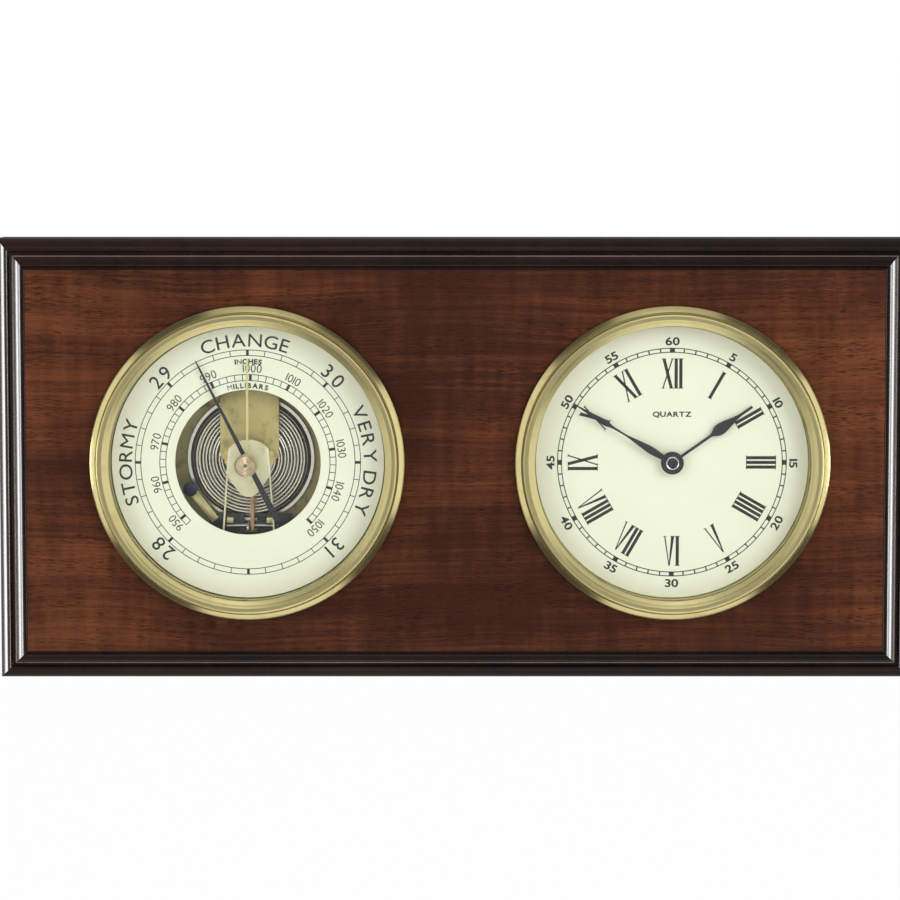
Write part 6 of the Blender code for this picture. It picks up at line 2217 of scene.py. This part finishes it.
@dataclass
class Studio:
    """Camera, lamps, white surround and the pale floor below."""

    target: Vector = field(default_factory=lambda: Vector((-0.0017, -0.026, 0.0038)))
    distance: float = 0.95
    elevation: float = 5.7
    shift: float = 0.10
    lens: float = 114.3
    floor_level: float = -0.32
    fill: float = 0.76
    front: tuple[float, float] = (0.04, 0.36)
    glare: float = 8.5
    outer_boxes: tuple[SoftBox, ...] = (
        (0.0, 27.0, 0.9),
        (84.0, 26.0, 0.85),
        (183.0, 34.0, 0.84),
        (272.0, 22.0, 0.42),
    )
    inner_boxes: tuple[SoftBox, ...] = (
        (0.0, 78.0, 0.80),
        (180.0, 78.0, 0.42),
        (90.0, 9.0, 1.7),
        (270.0, 9.0, 1.7),
    )

    def camera(self) -> None:
        """Camera at the photograph's angle."""
        data = bpy.data.cameras.new("camera")
        data.lens = self.lens
        data.sensor_width = 36.0
        data.clip_start = 0.01
        data.shift_y = -self.shift
        camera = linked("camera", data)
        angle = math.radians(self.elevation)
        camera.location = self.target + Vector((0.0, -math.cos(angle), math.sin(angle))) * self.distance
        tilt = angle - math.atan(self.shift * data.sensor_width / data.lens)
        camera.rotation_euler = (math.radians(90.0) - tilt, 0.0, 0.0)
        bpy.context.scene.camera = camera

    def lamp(self, name: str, place: Vector, size: float, power: float) -> None:
        """A square soft lamp that faces the plaque.

        Args:
            name: Name of the lamp.
            place: Where it stands.
            size: Its side.
            power: Its power in watts.
        """
        data = bpy.data.lights.new(name, "AREA")
        data.shape = "SQUARE"
        data.size = size
        data.energy = power
        lamp = linked(name, data)
        lamp.location = place
        lamp.rotation_euler = (Vector((0.0, -0.026, 0.0)) - place).to_track_quat("-Z", "Y").to_euler()
        lamp.visible_glossy = False
        lamp.visible_camera = False

    @staticmethod
    def boxes(nodes: NodeTree, ring: object, boxes: Sequence[SoftBox], shade: float) -> object:
        """Brightness of soft boxes that stand round the view axis.

        Args:
            nodes: The world's nodes.
            ring: Direction round the axis.
            boxes: Middle in degrees (0 right, 90 down), half width in degrees and strength of each.
            shade: Brightness between them.

        Returns:
            The brightness socket.
        """
        total: object = shade
        for degrees, half, strength in boxes:
            angle = math.radians(degrees)
            facing = (math.cos(angle), 0.0, -math.sin(angle))
            dot = nodes.add("VectorMath", {"operation": "DOT_PRODUCT"}, i0=ring, i1=facing).outputs["Value"]
            near, far = math.cos(math.radians(half + 3.0)), math.cos(math.radians(half - 3.0))
            total = nodes.math("ADD", total, nodes.span(dot, near, far, 0.0, strength))
        return total

    @staticmethod
    def change(
        nodes: NodeTree, value: object, low: float, high: float, below: object, above: object
    ) -> object:
        """One brightness below a value and another above it.

        Args:
            nodes: The world's nodes.
            value: What decides between the two.
            low: Value up to which the first one holds.
            high: Value from which the second one holds.
            below: First brightness.
            above: Second brightness.

        Returns:
            The brightness socket.
        """
        share = nodes.span(value, low, high)
        return nodes.math("MULTIPLY_ADD", share, nodes.math("SUBTRACT", above, below), below)

    def surround(self) -> None:
        """White for the camera, an even fill for matt surfaces, and soft boxes for polished ones."""
        world = bpy.data.worlds.new("studio")
        bpy.context.scene.world = world
        world.use_nodes = True
        nodes = NodeTree(world.node_tree)
        heading = nodes.add("TexCoord").outputs["Generated"]
        x, y, z = nodes.add("SeparateXYZ", None, i0=heading).outputs
        toward = nodes.math("MULTIPLY", y, -1.0)
        flat = nodes.add("CombineXYZ", None, X=x, Z=z).outputs[0]
        ring = nodes.add("VectorMath", {"operation": "NORMALIZE"}, i0=flat).outputs[0]
        outer = self.boxes(nodes, ring, self.outer_boxes, 0.07)
        inner = self.boxes(nodes, ring, self.inner_boxes, 0.10)
        shade = self.change(nodes, toward, 0.36, 0.52, outer, inner)
        lean = nodes.math("MULTIPLY_ADD", x, -0.35, z)
        near = nodes.span(lean, -0.14, 0.05, *self.front)
        shade = self.change(nodes, toward, 0.92, 0.96, shade, near)
        sideways = nodes.span(nodes.math("ABSOLUTE", x), 0.60, 0.80, 0.0, self.glare)
        sideways = nodes.math("MULTIPLY", sideways, nodes.span(toward, -0.52, -0.36))
        strip = nodes.span(nodes.math("ABSOLUTE", nodes.math("ADD", z, 0.1)), 0.10, 0.17, 1.0, 0.0)
        sideways = nodes.math("MULTIPLY", sideways, strip)
        beside = nodes.math("ADD", sideways, 0.22)
        glossy = self.change(nodes, toward, -0.05, 0.03, beside, shade)
        path = nodes.add("LightPath")
        seen = nodes.math("MAXIMUM", path.outputs["Is Camera Ray"], path.outputs["Is Transmission Ray"])
        extra = nodes.math("SUBTRACT", glossy, self.fill)
        matt = nodes.math("MULTIPLY_ADD", path.outputs["Is Glossy Ray"], extra, self.fill)
        lit = nodes.math("MULTIPLY_ADD", seen, nodes.math("SUBTRACT", 1.0, matt), matt)
        backdrop = nodes.add("Background", None, Color=(1.0, 1.0, 1.0, 1.0), Strength=lit)
        nodes.add("OutputWorld", None, Surface=backdrop.outputs[0])

    def floor(self) -> None:
        """A pale floor below the hanging plaque, white to the camera but for the shadow."""
        bm = bmesh.new()
        reach = 6.0
        corners = rectangle(-reach, -reach, reach, reach)
        bm.faces.new([bm.verts.new((x, y, self.floor_level)) for x, y in corners])
        mesh = bpy.data.meshes.new("floor")
        bm.to_mesh(mesh)
        bm.free()
        obj = linked("floor", mesh)
        material, nodes = fresh_material("pale_floor")
        shader = nodes.add("BsdfPrincipled", None, Base_Color=(0.93, 0.93, 0.93, 1.0), Roughness=0.9)
        glow = nodes.add("Emission", None, Color=(1.0, 1.0, 1.0, 1.0), Strength=1.0)
        share = nodes.math("MULTIPLY", nodes.add("LightPath").outputs["Is Camera Ray"], 0.96)
        both = nodes.add("MixShader", None, i0=share, i1=shader.outputs[0], i2=glow.outputs[0])
        nodes.add("OutputMaterial", None, Surface=both.outputs[0])
        mesh.materials.append(material)
        obj.visible_glossy = False

    def build(self) -> None:
        """Set up the studio."""
        self.camera()
        self.surround()
        self.lamp("lamp_right", Vector((0.9, -1.0, 0.5)), 0.7, 6.0)
        self.lamp("lamp_left", Vector((-1.0, -0.9, 0.3)), 0.7, 3.6)
        self.floor()
        settings = bpy.context.scene.view_settings
        settings.view_transform = "Standard"


def main() -> None:
    """Build every piece of the barometer and clock over the frame."""
    logging.basicConfig(level=logging.INFO, format="%(message)s")
    Studio().build()
    Plaque(Insert(0.0, 0.0, panel_level())).build()
    barometer = Insert.around("baro_bezel")
    clock = Insert.around("clock_bezel")
    Bezel(barometer).build("baro_bezel", "weather_bezel")
    Bezel(clock).build("clock_bezel", "hour_bezel")
    Pane(barometer, bore=0.0012).build("baro_glass", "weather_pane")
    Pane(clock).build("clock_glass", "hour_pane")
    BarometerDial(barometer).build()
    ClockDial(clock).build()
    weather_case = Cases(barometer)
    weather_case.grip("baro_grip_ring", "weather_grip")
    weather_case.cup("baro_case", -0.0250, -0.0242)
    hour_case = Cases(clock)
    hour_case.grip("clock_grip_ring", "hour_grip")
    hour_case.shell("clock_case", -0.0210)
    Mechanism(barometer).build()
    Pointers(barometer).build()
    ClockHands(clock).build()
    Movement(clock).build()


if __name__ == "__main__":
    main()
